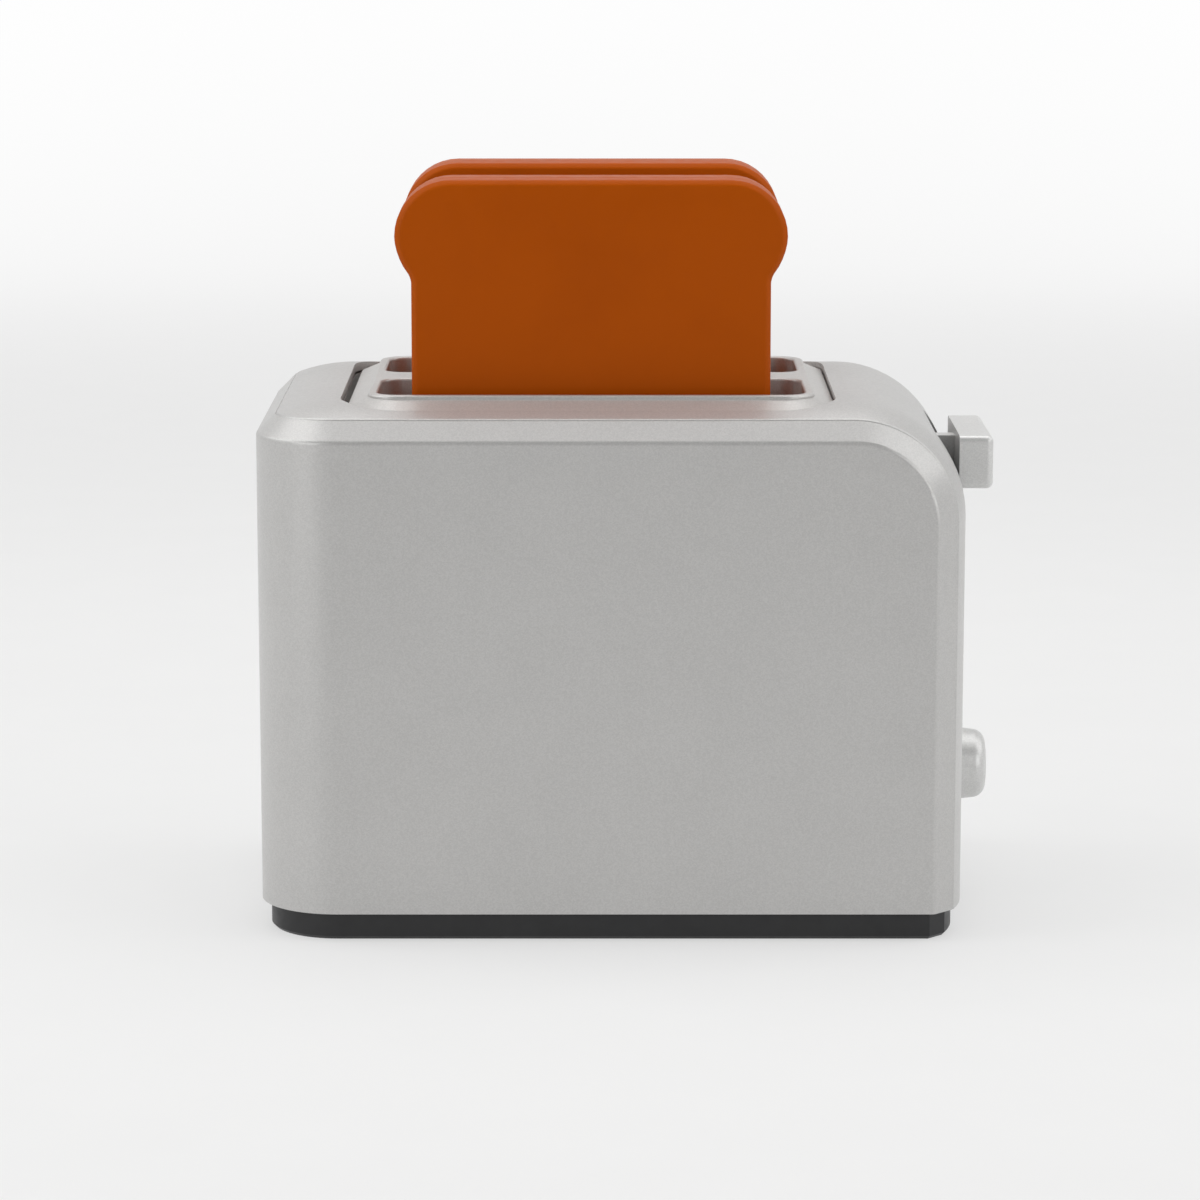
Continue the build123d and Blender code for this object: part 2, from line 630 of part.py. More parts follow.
def make_base_plate():
    """Black tray that closes the body and shows as a plinth."""
    outside = offset(plan_outline(), -WALL - SEAT_GAP)
    inside = offset(plan_outline(), -WALL - SEAT_GAP - BASE_WALL)
    tray = extrude(outside, BASE_HEIGHT)
    tray = chamfer(tray.faces().sort_by(Axis.Z)[0].edges(), BASE_EDGE)
    tray -= Pos(0, 0, BASE_FLOOR) * extrude(inside, BASE_HEIGHT)
    for x, y in screw_places():
        tray += upright(x, y, (0, PAD_HEIGHT), PAD_RADIUS)
    for x, y in screw_places():
        tray -= upright(x, y, (-OVERCUT, HEAD_SEAT_Z), SCREW_HEAD_RADIUS + HEAD_CLEARANCE)
        tray -= upright(x, y, (0, PAD_HEIGHT + OVERCUT), SCREW_RADIUS + SCREW_CLEARANCE)
    socket = upright(ROD_X, ROD_Y, (BASE_FLOOR / 2, SPRING_SEAT_Z), SPRING_SEAT_RADIUS)
    socket -= upright(ROD_X, ROD_Y, (BASE_FLOOR, SPRING_SEAT_Z), ROD_RADIUS)
    tray -= both_sides(upright(ROD_X, ROD_Y, (BASE_FLOOR, SPRING_SEAT_Z), ROD_RADIUS))
    tray += both_sides(socket)
    half_post = SQUARE_SIDE / 2
    tray += block(
        (CAM_END_X, SQUARE_END_X),
        (-half_post, half_post),
        (BASE_FLOOR / 2, KNOB_HEIGHT - SQUARE_SIDE - LEAF_RISE),
    )
    return tray


def make_base_screws():
    """Six self-tapping screws driven from below."""
    screws = []
    for x, y in screw_places():
        head = upright(x, y, (HEAD_SEAT_Z - SCREW_HEAD_LENGTH, HEAD_SEAT_Z), SCREW_HEAD_RADIUS)
        shank = upright(x, y, (HEAD_SEAT_Z, HEAD_SEAT_Z + SCREW_LENGTH), SCREW_RADIUS)
        screws.append(head + shank)
    return Compound(children=screws)


def make_guide_rods():
    """Two upright steel rods that the carriage slides on."""
    places = (-ROD_Y, ROD_Y)
    return Compound(children=[upright(ROD_X, y, (BASE_FLOOR, ROD_TOP_Z), ROD_RADIUS) for y in places])


def least_gap(points, wire_radius):
    """Smallest free space between parts of a coil that lie half a turn or more apart."""
    distances = []
    for index, point in enumerate(points):
        others = points[index + POINTS_PER_ARC:]
        distances += [(other - point).length for other in others]
    return min(distances) - 2 * wire_radius


def coil(radius, wire_radius, turns, length):
    """Open coil spring standing on z = 0, as one six-sided tube along tilted half circles."""
    rise = length - 2 * wire_radius
    step = rise / (2 * turns)
    bow = sqrt(radius**2 + (step / 2) ** 2)
    arcs = []
    points = []
    for half_turn in range(2 * turns):
        side = 1 if half_turn % 2 == 0 else -1
        start_z = wire_radius + half_turn * step
        start = (side * radius, 0, start_z)
        middle = (0, side * bow, start_z + step / 2)
        end = (-side * radius, 0, start_z + step)
        arc = ThreePointArc(start, middle, end)
        arcs.append(arc)
        points += [arc @ (place / POINTS_PER_ARC) for place in range(POINTS_PER_ARC)]
    profile = Plane(origin=(radius, 0, wire_radius), z_dir=(0, 1, 0)) * RegularPolygon(wire_radius, WIRE_SIDES)
    print("least gap between turns:", round(least_gap(points, wire_radius), 2), "mm")
    return sweep(profile, path=Wire(arcs))


def make_return_springs():
    """Compression springs round the rods, under the carriage."""
    length = SLAB_FOOT_Z - SPRING_SEAT_Z - SEAT_GAP
    spring = coil(SPRING_RADIUS, SPRING_WIRE, SPRING_TURNS, length)
    return Compound(children=[Pos(ROD_X, y, SPRING_SEAT_Z) * spring for y in (-ROD_Y, ROD_Y)])


def make_carriage():
    """Slider with its bushes, stem block and the two bread rests."""
    half_slab = SLAB_WIDTH / 2
    carriage = block((SLAB_BACK_X, SLAB_FRONT_X), (-half_slab, half_slab), (SLAB_FOOT_Z, SLAB_TOP_Z))
    carriage += both_sides(upright(ROD_X, ROD_Y, (SLAB_FOOT_Z, BUSH_TOP_Z), BUSH_RADIUS))
    half_block = STEM_BLOCK_WIDTH / 2
    block_top_z = LEVER_Z + STEM_HEIGHT / 2 + STEM_BLOCK_MARGIN
    carriage += block(
        (ROD_X - STEM_BLOCK_BACK, STEM_BLOCK_FRONT_X),
        (-half_block, half_block),
        (SLAB_FOOT_Z, block_top_z),
    )
    carriage += both_sides(bread_rest())
    rod_z = (SLAB_FOOT_Z - OVERCUT, BUSH_TOP_Z + OVERCUT)
    carriage -= both_sides(upright(ROD_X, ROD_Y, rod_z, ROD_RADIUS + RUNNING_GAP))
    carriage -= block(
        (STEM_END_X, STEM_BLOCK_FRONT_X + OVERCUT),
        (-STEM_WIDTH / 2, STEM_WIDTH / 2),
        (LEVER_Z - STEM_HEIGHT / 2, LEVER_Z + STEM_HEIGHT / 2),
    )
    screw_x = (ROD_X - STEM_BLOCK_BACK - OVERCUT, STEM_END_X)
    carriage -= lengthwise(screw_x, 0, LEVER_Z, SCREW_RADIUS)
    clip_x = (CAM_START_X + CAM_END_X) / 2
    carriage -= upright(clip_x, 0, (SLAB_FOOT_Z, SLAB_TOP_Z), SCREW_RADIUS)
    return carriage


def bread_rest():
    """Channel-shaped arm under one slice, with its neck down from the slider and an end stop."""
    start_x = SLOT_CENTRE_X - TOAST_BODY_WIDTH / 2 - REST_OVERHANG
    rest_y = (TOAST_Y - REST_WIDTH / 2, TOAST_Y + REST_WIDTH / 2)
    inner_y = (rest_y[0] + REST_SKIN, rest_y[1] - REST_SKIN)
    foot_z = REST_TOP_Z - REST_HEIGHT
    arm = block((start_x, SLAB_BACK_X + NECK_THICKNESS), rest_y, (foot_z, REST_TOP_Z))
    arm -= block((start_x + REST_SKIN, SLAB_BACK_X), inner_y, (foot_z - OVERCUT, REST_TOP_Z - REST_SKIN))
    arm += block((SLAB_BACK_X, SLAB_BACK_X + NECK_THICKNESS), rest_y, (foot_z, SLAB_TOP_Z))
    arm += block((start_x, start_x + REST_SKIN), rest_y, (REST_TOP_Z, REST_TOP_Z + REST_STOP_HEIGHT))
    return arm


def make_lever():
    """Wide paddle with the stem that runs in the end slot."""
    half_width = LEVER_WIDTH / 2
    half_height = LEVER_HEIGHT / 2
    paddle = block(
        (LEVER_BACK_X, LEVER_FRONT_X),
        (-half_width, half_width),
        (LEVER_Z - half_height, LEVER_Z + half_height),
    )
    rounded = paddle.edges() - paddle.faces().sort_by(Axis.X)[0].edges()
    paddle = fillet(rounded, LEVER_ROUNDING)
    stem = block(
        (STEM_END_X, LEVER_BACK_X + LEVER_ROUNDING),
        (-STEM_WIDTH / 2, STEM_WIDTH / 2),
        (LEVER_Z - STEM_HEIGHT / 2, LEVER_Z + STEM_HEIGHT / 2),
    )
    screw_x = (STEM_END_X - OVERCUT, ROD_X - STEM_BLOCK_BACK + SCREW_LENGTH)
    return paddle + stem - lengthwise(screw_x, 0, LEVER_Z, SCREW_RADIUS)


def make_lever_screw():
    """Screw along X that holds the stem in the carriage."""
    seat_x = ROD_X - STEM_BLOCK_BACK
    head = lengthwise((seat_x - SCREW_HEAD_LENGTH, seat_x), 0, LEVER_Z, SCREW_HEAD_RADIUS)
    shank = lengthwise((seat_x, seat_x + SCREW_LENGTH), 0, LEVER_Z, SCREW_RADIUS)
    return head + shank


def make_catch_clip():
    """Springy clip under the carriage; its barbs hook under the cam when the lever is down."""
    plate_z = (SLAB_FOOT_Z - CLIP_THICKNESS, SLAB_FOOT_Z)
    x_span = (CAM_START_X, CAM_END_X)
    outer_y = CLIP_LEG_Y + CLIP_THICKNESS
    clip = block(x_span, (-outer_y, outer_y), plate_z)
    clip += both_sides(block(x_span, (CLIP_LEG_Y, outer_y), (CLIP_FOOT_Z, SLAB_FOOT_Z)))
    barb_z = (CLIP_FOOT_Z, CLIP_FOOT_Z + CLIP_FOOT)
    clip += both_sides(block(x_span, (CLIP_LEG_Y - CLIP_BARB, outer_y), barb_z))
    clip_x = (CAM_START_X + CAM_END_X) / 2
    clip -= upright(clip_x, 0, (SLAB_FOOT_Z - OVERCUT, SLAB_FOOT_Z), SCREW_RADIUS)
    return clip


def make_clip_screw():
    """Screw that holds the clip up against the carriage."""
    clip_x = (CAM_START_X + CAM_END_X) / 2
    seat_z = SLAB_FOOT_Z - CLIP_THICKNESS
    head = upright(clip_x, 0, (seat_z - SCREW_HEAD_LENGTH, seat_z), SCREW_HEAD_RADIUS)
    shank = upright(clip_x, 0, (seat_z, SLAB_TOP_Z), SCREW_RADIUS)
    return head + shank


def shaft_end(x_span):
    """Round shaft with one flat, as it sits in the knob."""
    start, end = x_span
    shaft = lengthwise(x_span, 0, KNOB_HEIGHT, SHAFT_RADIUS)
    above_flat = (KNOB_HEIGHT + SHAFT_FLAT, KNOB_HEIGHT + SHAFT_RADIUS + OVERCUT)
    return shaft - block((start, end), (-SHAFT_RADIUS, SHAFT_RADIUS), above_flat)


def make_release_cam():
    """Shaft of the knob with collar, square for the leaf, and the oval cam."""
    oval = SlotOverall(CAM_WIDTH, CAM_HEIGHT)
    cam_plane = Plane(origin=(CAM_START_X, 0, KNOB_HEIGHT), x_dir=(0, 1, 0), z_dir=(1, 0, 0))
    cam = extrude(cam_plane * oval, CAM_LENGTH)
    half = SQUARE_SIDE / 2
    cam += block((CAM_END_X, SQUARE_END_X), (-half, half), (KNOB_HEIGHT - half, KNOB_HEIGHT + half))
    cam += lengthwise((SQUARE_END_X, COLLAR_END_X), 0, KNOB_HEIGHT, COLLAR_RADIUS)
    cam += lengthwise((COLLAR_END_X, KNOB_BACK_X), 0, KNOB_HEIGHT, SHAFT_RADIUS)
    cam += shaft_end((KNOB_BACK_X, KNOB_BACK_X + SHAFT_IN_KNOB))
    return cam


def make_release_knob():
    """Round tapered knob with a rounded front, pressed on the shaft."""
    profile = Plane(origin=(KNOB_BACK_X, 0, KNOB_HEIGHT), x_dir=(0, 1, 0), z_dir=(1, 0, 0))
    front = Plane(origin=(KNOB_BACK_X + KNOB_LENGTH, 0, KNOB_HEIGHT), x_dir=(0, 1, 0), z_dir=(1, 0, 0))
    knob = loft([profile * Circle(KNOB_RADIUS), front * Circle(KNOB_RADIUS - KNOB_TAPER)])
    knob = fillet(knob.faces().sort_by(Axis.X)[-1].edges(), KNOB_ROUNDING)
    return knob - shaft_end((KNOB_BACK_X, KNOB_BACK_X + SHAFT_IN_KNOB))


def make_centring_leaf():
    """Hairpin leaf over the post, gripping the square of the shaft."""
    inner_y = SQUARE_SIDE / 2 + SEAT_GAP
    outer_y = inner_y + LEAF_THICKNESS
    middle_x = (CAM_END_X + SQUARE_END_X) / 2
    x_span = (middle_x - LEAF_WIDTH / 2, middle_x + LEAF_WIDTH / 2)
    leaf = block(x_span, (-outer_y, outer_y), (LEAF_FOOT, LEAF_TOP_Z))
    leaf -= block(x_span, (-inner_y, inner_y), (LEAF_FOOT - OVERCUT, LEAF_TOP_Z - LEAF_THICKNESS))
    return leaf


def make_stop_button():
    """Black cap with its guide stem."""
    cap = lengthwise((BUTTON_BACK_X, BUTTON_FRONT_X), BUTTON_Y, BUTTON_Z, BUTTON_RADIUS)
    cap = fillet(cap.faces().sort_by(Axis.X)[-1].edges(), BUTTON_ROUNDING)
    stem_end_x = BUTTON_FLOOR_X - SLIDE_GAP - BUTTON_RING_LENGTH
    return cap + lengthwise((stem_end_x, BUTTON_BACK_X), BUTTON_Y, BUTTON_Z, BUTTON_STEM_RADIUS)


def make_button_ring():
    """Push-on ring behind the tube's floor."""
    end_x = BUTTON_FLOOR_X - SLIDE_GAP
    x_span = (end_x - BUTTON_RING_LENGTH, end_x)
    ring = lengthwise(x_span, BUTTON_Y, BUTTON_Z, BUTTON_RING_RADIUS)
    return ring - lengthwise(x_span, BUTTON_Y, BUTTON_Z, BUTTON_STEM_RADIUS)


def make_button_spring():
    """Small spring between the tube's floor and the cap."""
    length = BUTTON_BACK_X - BUTTON_TUBE_X - SEAT_GAP
    spring = coil(BUTTON_SPRING_RADIUS, BUTTON_SPRING_WIRE, BUTTON_SPRING_TURNS, length)
    return Pos(BUTTON_TUBE_X, BUTTON_Y, BUTTON_Z) * Rot(0, 90, 0) * spring


def toast_outline():
    """Bread-slice outline, standing on local y = 0."""
    half_body = TOAST_BODY_WIDTH / 2
    lobe_x = TOAST_WIDTH / 2 - TOAST_LOBE_RADIUS
    lobe_y = TOAST_HEIGHT - TOAST_LOBE_RADIUS
    neck_x = half_body + TOAST_NECK_RADIUS
    reach = TOAST_LOBE_RADIUS + TOAST_NECK_RADIUS
    neck_y = lobe_y - sqrt(reach**2 - (neck_x - lobe_x) ** 2)
    share = TOAST_LOBE_RADIUS / reach
    join = (lobe_x + share * (neck_x - lobe_x), lobe_y + share * (neck_y - lobe_y))
    half = [
        Line((0, 0), (half_body - TOAST_FOOT_RADIUS, 0)),
        RadiusArc((half_body - TOAST_FOOT_RADIUS, 0), (half_body, TOAST_FOOT_RADIUS), -TOAST_FOOT_RADIUS),
        Line((half_body, TOAST_FOOT_RADIUS), (half_body, neck_y)),
        RadiusArc((half_body, neck_y), join, TOAST_NECK_RADIUS),
        RadiusArc(join, (lobe_x, TOAST_HEIGHT), -TOAST_LOBE_RADIUS),
        Line((lobe_x, TOAST_HEIGHT), (0, TOAST_HEIGHT)),
    ]
    other_half = [mirror(edge, about=Plane.YZ) for edge in half]
    return make_face(half + other_half)


def make_toast_half(centre_y, side):
    """Hollow half slice on one side of its middle plane."""
    foot = (SLOT_CENTRE_X, centre_y, TOAST_FOOT_Z)
    plane = Plane(origin=foot, x_dir=(-side, 0, 0), z_dir=(0, side, 0))
    half = extrude(toast_outline(), TOAST_THICKNESS / 2)
    half = chamfer(half.faces().sort_by(Axis.Z)[-1].edges(), TOAST_BEVEL)
    hollow = extrude(offset(toast_outline(), -TOAST_WALL), TOAST_THICKNESS / 2 - TOAST_FACE)
    return plane * (half - hollow)


def make_parts():
    """Every node by name."""
    return {
        "top_cover": make_top_cover(),
        "front_side_shell": make_side_shell(True),
        "back_side_shell": mirror(make_side_shell(False), about=Plane.XZ),
        "slot_frame": make_slot_frame(),
        "base_plate": make_base_plate(),
        "base_screws": make_base_screws(),
        "guide_rods": make_guide_rods(),
        "return_springs": make_return_springs(),
        "carriage": make_carriage(),
        "lever": make_lever(),
        "lever_screw": make_lever_screw(),
        "catch_clip": make_catch_clip(),
        "clip_screw": make_clip_screw(),
        "release_cam": make_release_cam(),
        "release_knob": make_release_knob(),
        "centring_leaf": make_centring_leaf(),
        "stop_button": make_stop_button(),
        "button_ring": make_button_ring(),
        "button_spring": make_button_spring(),
        "front_toast_outer": make_toast_half(-TOAST_Y, -1),
        "front_toast_inner": make_toast_half(-TOAST_Y, 1),
        "back_toast_inner": make_toast_half(TOAST_Y, -1),
        "back_toast_outer": make_toast_half(TOAST_Y, 1),
    }


os.makedirs("parts", exist_ok=True)
for node, shape in make_parts().items():
    export_step(shape, f"parts/{node}.step")
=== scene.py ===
from math import asin, cos, pi, radians, sqrt, tan

import bmesh
import bpy
from bpy.props import FloatProperty, FloatVectorProperty, IntProperty, PointerProperty
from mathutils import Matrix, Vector


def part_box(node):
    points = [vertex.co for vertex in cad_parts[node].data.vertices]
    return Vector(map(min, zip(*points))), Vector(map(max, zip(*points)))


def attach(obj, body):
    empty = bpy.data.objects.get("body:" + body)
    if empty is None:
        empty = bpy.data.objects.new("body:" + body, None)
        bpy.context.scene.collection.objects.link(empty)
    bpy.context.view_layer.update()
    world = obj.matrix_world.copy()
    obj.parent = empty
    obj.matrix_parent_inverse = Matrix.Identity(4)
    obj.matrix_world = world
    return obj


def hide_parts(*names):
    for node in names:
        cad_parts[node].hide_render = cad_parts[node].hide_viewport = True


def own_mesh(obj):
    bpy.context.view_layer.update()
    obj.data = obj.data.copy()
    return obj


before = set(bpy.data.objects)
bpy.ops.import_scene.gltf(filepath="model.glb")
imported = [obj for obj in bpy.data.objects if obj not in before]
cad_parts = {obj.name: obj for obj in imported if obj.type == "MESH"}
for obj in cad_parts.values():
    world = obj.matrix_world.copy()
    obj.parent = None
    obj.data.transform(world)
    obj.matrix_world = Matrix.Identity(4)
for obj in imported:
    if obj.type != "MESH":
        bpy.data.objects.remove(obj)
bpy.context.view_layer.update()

bl_info = {
    "name": "Toy Toaster Looks",
    "version": (1, 0, 0),
    "blender": (4, 5, 0),
    "location": "View3D > Sidebar > Toaster",
    "description": "Finishes, toast slices, screws, springs and stage of a toy pop-up toaster",
    "category": "Object",
}

MM = 0.001
MERGE_DISTANCE = 0.02 * MM
SMOOTH_ANGLE = radians(32)
FLAT_ANGLE = radians(0.5)
WHITE = (1, 1, 1, 1)

# Nodes and their bodies
SILVER_NODES = ("top_cover", "front_side_shell", "back_side_shell")
CONTROL_NODES = ("lever", "release_knob")
FLAT_SPRING_NODES = ("catch_clip", "centring_leaf", "button_ring")
SMALL_SCREW_NODES = ("lever_screw", "clip_screw")
TOAST_HALVES = {
    "front_toast_outer": ("front_toast", -1),
    "front_toast_inner": ("front_toast", 1),
    "back_toast_inner": ("back_toast", -1),
    "back_toast_outer": ("back_toast", 1),
}

# Patterns: waves or flakes to the metre, levels of finer detail and, for the toast, their strength
PAINT_FLAKES = 3600
PAINT_CLOUDS = (60, 4)
PAINT_SHEEN = (900, 3)
ORANGE_PEEL = (1500, 2)
PLASTIC_CLOUDS = (140, 4)
PLASTIC_SHEEN = (420, 3)
MOULD_GRAIN = (2400, 3)
TOAST_CLOUDS = (16, 5, 0.6)
TOAST_SHEEN = (300, 3)
TOAST_SKIN = (700, 4)
STEEL_STAINS = (220, 4)
STEEL_SHEEN = (1300, 3)
DRAW_MARKS = (2000, 2)
PAPER_TOOTH = (30, 3)

# Where in a pattern the first tone ends and the second begins
PATTERN_SPAN = (0.3, 0.7)
FLAKE_SPAN = (0.1, 0.95)
TOAST_SPAN = (0.2, 0.5)

# Darkest and lightest shade of a tone
PAINT_SHADES = (0.97, 1.03)
PLASTIC_SHADES = (0.86, 1.14)
STEEL_SHADES = (0.88, 1.1)
PAPER_SHADES = (0.99, 1.01)
SPRING_SHADE = 0.8
FLAKE_SHARE = 0.55

# Gloss and relief; a relief is its depth and its strength
COAT_WEIGHT = 0.12
COAT_ROUGHNESS = 0.18
SATIN_SPREAD = (-0.05, 0.05)
STEEL_SPREAD = (-0.06, 0.08)
TOAST_ROUGHNESS = (0.36, 0.46)
TOAST_SPECULAR = 0.08
PLASTIC_SPECULAR = 0.5
BUTTON_ROUGHNESS = 0.16
PLINTH_ROUGHNESS = 0.46
CARRIAGE_ROUGHNESS = 0.5
CAM_ROUGHNESS = 0.42
ROD_ROUGHNESS = 0.36
STEEL_ROUGHNESS = 0.38
PAPER_ROUGHNESS = 0.9
PAPER_SPECULAR = 0.1
PEEL_RELIEF = (0.01 * MM, 0.25)
TOAST_RELIEF = (0.02 * MM, 0.3)
STEEL_RELIEF = (0.004 * MM, 0.3)
COARSE_GRAIN = 0.02 * MM
FINE_GRAIN = 0.01 * MM
POLISHED_GRAIN = 0.002 * MM
GRAIN_STRENGTH = 0.35

# Steps and shares of the modelled pieces; like pieces stand at least so many radii apart
SOFT_STEPS = 3
SCREW_SIDES = 32
SCREW_DOME_SHARE = 1 / 3
SCREW_DOME_STEPS = 4
SCREW_TIP_SHARE = 1 / 2
CROSS_DRAFT_SHARE = 1 / 5
SCREWS_APART = 4
SPRINGS_APART = 3
WIRE_SIDES = 10
COIL_STEPS = 28

# Stage, in metres; a soft box is its name, its place, its width and length, and the setting of its power
FLOOR_SIZE = (10, 5)
FLOOR_PLACE = (0, -0.5, -0.05 * MM)
BACKDROP_HEIGHT = 3
COVE_RADIUS = 0.6
COVE_STEPS = 12
LAMP_AIM = (0, 0, 0.1)
SOFT_BOXES = (
    ("left_lamp", (-0.86, 0, 0.95), (1.0, 1.1), "left_lamp"),
    ("right_lamp", (0.86, 0, 0.95), (1.0, 1.1), "right_lamp"),
    ("left_fill", (-0.9, -1, 0.5), (0.8, 0.8), "fill_lamps"),
    ("right_fill", (0.9, -1, 0.5), (0.8, 0.8), "fill_lamps"),
    ("top_lamp", (0, 0.3, 1.3), (1.0, 1.0), "top_lamp"),
)

# Light all round: upward part of a direction where it fades, backward part where the front is dim
SKY_FADE = (0.1, 0.7)
FRONT_FADE = (-1.0, -0.75)


def colour(name, description, default):
    """One colour that a user may change."""
    return FloatVectorProperty(
        name=name, description=description, default=default, subtype="COLOR", size=3, min=0, max=1,
    )


def length(name, description, millimetres):
    """One length that a user may change."""
    return FloatProperty(name=name, description=description, default=millimetres * MM, unit="LENGTH", min=0)


def share(name, description, default):
    """One share between nothing and all."""
    return FloatProperty(
        name=name, description=description, default=default, min=0, max=1, subtype="FACTOR",
    )


def count(name, description, default, least):
    """One whole number that a user may change."""
    return IntProperty(name=name, description=description, default=default, min=least)


def power(name, description, watts):
    """One lamp's power."""
    return FloatProperty(name=name, description=description, default=watts, unit="POWER", min=0)


def angle(name, description, degrees):
    """One angle that a user may change."""
    return FloatProperty(name=name, description=description, default=radians(degrees), unit="ROTATION")


class ToasterFinishes(bpy.types.PropertyGroup):
    """Colours and gloss of the moulded, painted and steel pieces."""

    silver: colour("Silver paint", "Body paint of the cover and the side shells", (0.56, 0.554, 0.544))
    silver_glitter: share("Glitter", "How much lighter the paint's flakes are than its ground", 0.1)
    silver_gloss: share("Paint roughness", "Roughness of the body paint", 0.37)
    silver_metal: share("Paint metal", "How much the paint reflects as metal does", 0.38)
    # The rim colour is the body silver made a little lighter: a painted highlight for the light that the
    # rounded bead of the slot frame catches.
    rim_with_painted_highlight: colour("Rim paint", "Paint of the frame round the slots", (0.58, 0.57, 0.555))
    control: colour("Control paint", "Light paint of the lever and the knob", (0.7, 0.7, 0.69))
    black: colour("Black plastic", "Moulded plinth", (0.012, 0.012, 0.013))
    button: colour("Button plastic", "Glossy button", (0.01, 0.01, 0.011))
    carriage: colour("Carriage plastic", "Slider inside the body", (0.03, 0.03, 0.032))
    cam: colour("Cam plastic", "Natural white cam of the knob", (0.7, 0.69, 0.64))
    toast: colour("Toast", "Face of the toast slices", (0.45, 0.079, 0.0005))
    crust: colour("Toast dark", "Darker cloud in the toast's colour", (0.4, 0.068, 0.0005))
    steel: colour("Bright steel", "Rods and springs", (0.5, 0.5, 0.51))
    zinc: colour("Zinc plate", "Screws", (0.45, 0.45, 0.46))


class ToasterSizes(bpy.types.PropertyGroup):
    """Sizes of the pieces that are modelled here."""

    lobe_radius: length("Lobe radius", "Rounding of the slice's upper corners", 14)
    lobe_overhang: length("Lobe overhang", "How far the lobes stand out over the slice's sides", 4.1)
    neck_radius: length("Neck radius", "Hollow rounding under the lobes", 4.5)
    foot_radius: length("Foot radius", "Rounding of the slice's lower corners", 5)
    edge_bevel: length("Edge bevel", "Width of the sloped edge round the slice's face", 1.2)
    edge_softness: length("Edge softness", "Rounding of both borders of the sloped edge", 0.35)
    parting: length("Parting line", "Small break where the slice's two halves meet", 0.25)
    corner_steps: count("Corner steps", "Faces in each rounded corner", 10, 2)
    screw_head: length("Screw head", "Radius of a base screw's head", 2.8)
    screw_shank: length("Screw shank", "Radius of a base screw's shank", 1.5)
    screw_head_height: length("Screw head height", "Height of a base screw's head", 2)
    screw_recess: length("Cross recess", "Length of the cross in a screw's head", 3.2)
    screw_recess_width: length("Cross width", "Width of the cross in a screw's head", 0.8)
    screw_recess_depth: length("Cross depth", "Depth of the cross in a screw's head", 1.1)
    spring_radius: length("Spring radius", "Middle radius of a return spring", 4.6)
    spring_wire: length("Spring wire", "Radius of a return spring's wire", 0.35)
    spring_turns: count("Spring turns", "Turns of a return spring", 9, 1)
    lever_travel: length("Lever travel", "How far the lever presses the return springs", 54)
    button_spring_radius: length("Button spring radius", "Middle radius of the button's spring", 3.6)
    button_spring_wire: length("Button spring wire", "Radius of the button spring's wire", 0.25)
    button_spring_turns: count("Button spring turns", "Turns of the button's spring", 4, 1)
    button_travel: length("Button travel", "How far the button presses its spring", 2)


class ToasterStage(bpy.types.PropertyGroup):
    """Floor, lamps and camera."""

    floor: colour("Floor", "Pale floor and backdrop", (0.72, 0.72, 0.715))
    floor_glow: share("Floor white", "How much of the floor's own white the eye sees near the object", 0.55)
    white_start: length("White start", "Distance at which the floor begins to turn white", 500)
    white_end: length("White end", "Distance at which the floor is all white", 2000)
    mirror_glow: share("Mirrored white", "How much of the floor's own white shows in glossy surfaces", 0.6)
    horizon: share("Horizon light", "Strength of the even light from all round at eye level", 0.75)
    zenith: share("Overhead light", "Strength of the even light from above", 0.08)
    front: share("Front wall", "How much of the horizon light comes from straight in front", 0.2)
    left_lamp: power("Left lamp", "Soft box at the left", 6.5)
    right_lamp: power("Right lamp", "Soft box at the right", 5.5)
    fill_lamps: power("Front lamps", "Each of the two soft boxes at the front", 3)
    top_lamp: power("Top lamp", "Soft box above", 6.5)
    camera_place: FloatVectorProperty(
        name="Camera place", description="Where the camera stands", default=(-0.0028, -1.1033, 0.2805),
        subtype="TRANSLATION", unit="LENGTH",
    )
    camera_pitch: angle("Camera pitch", "How far the camera looks down", 10.5)
    field_of_view: angle("Field of view", "Width of the picture as an angle", 15.71)


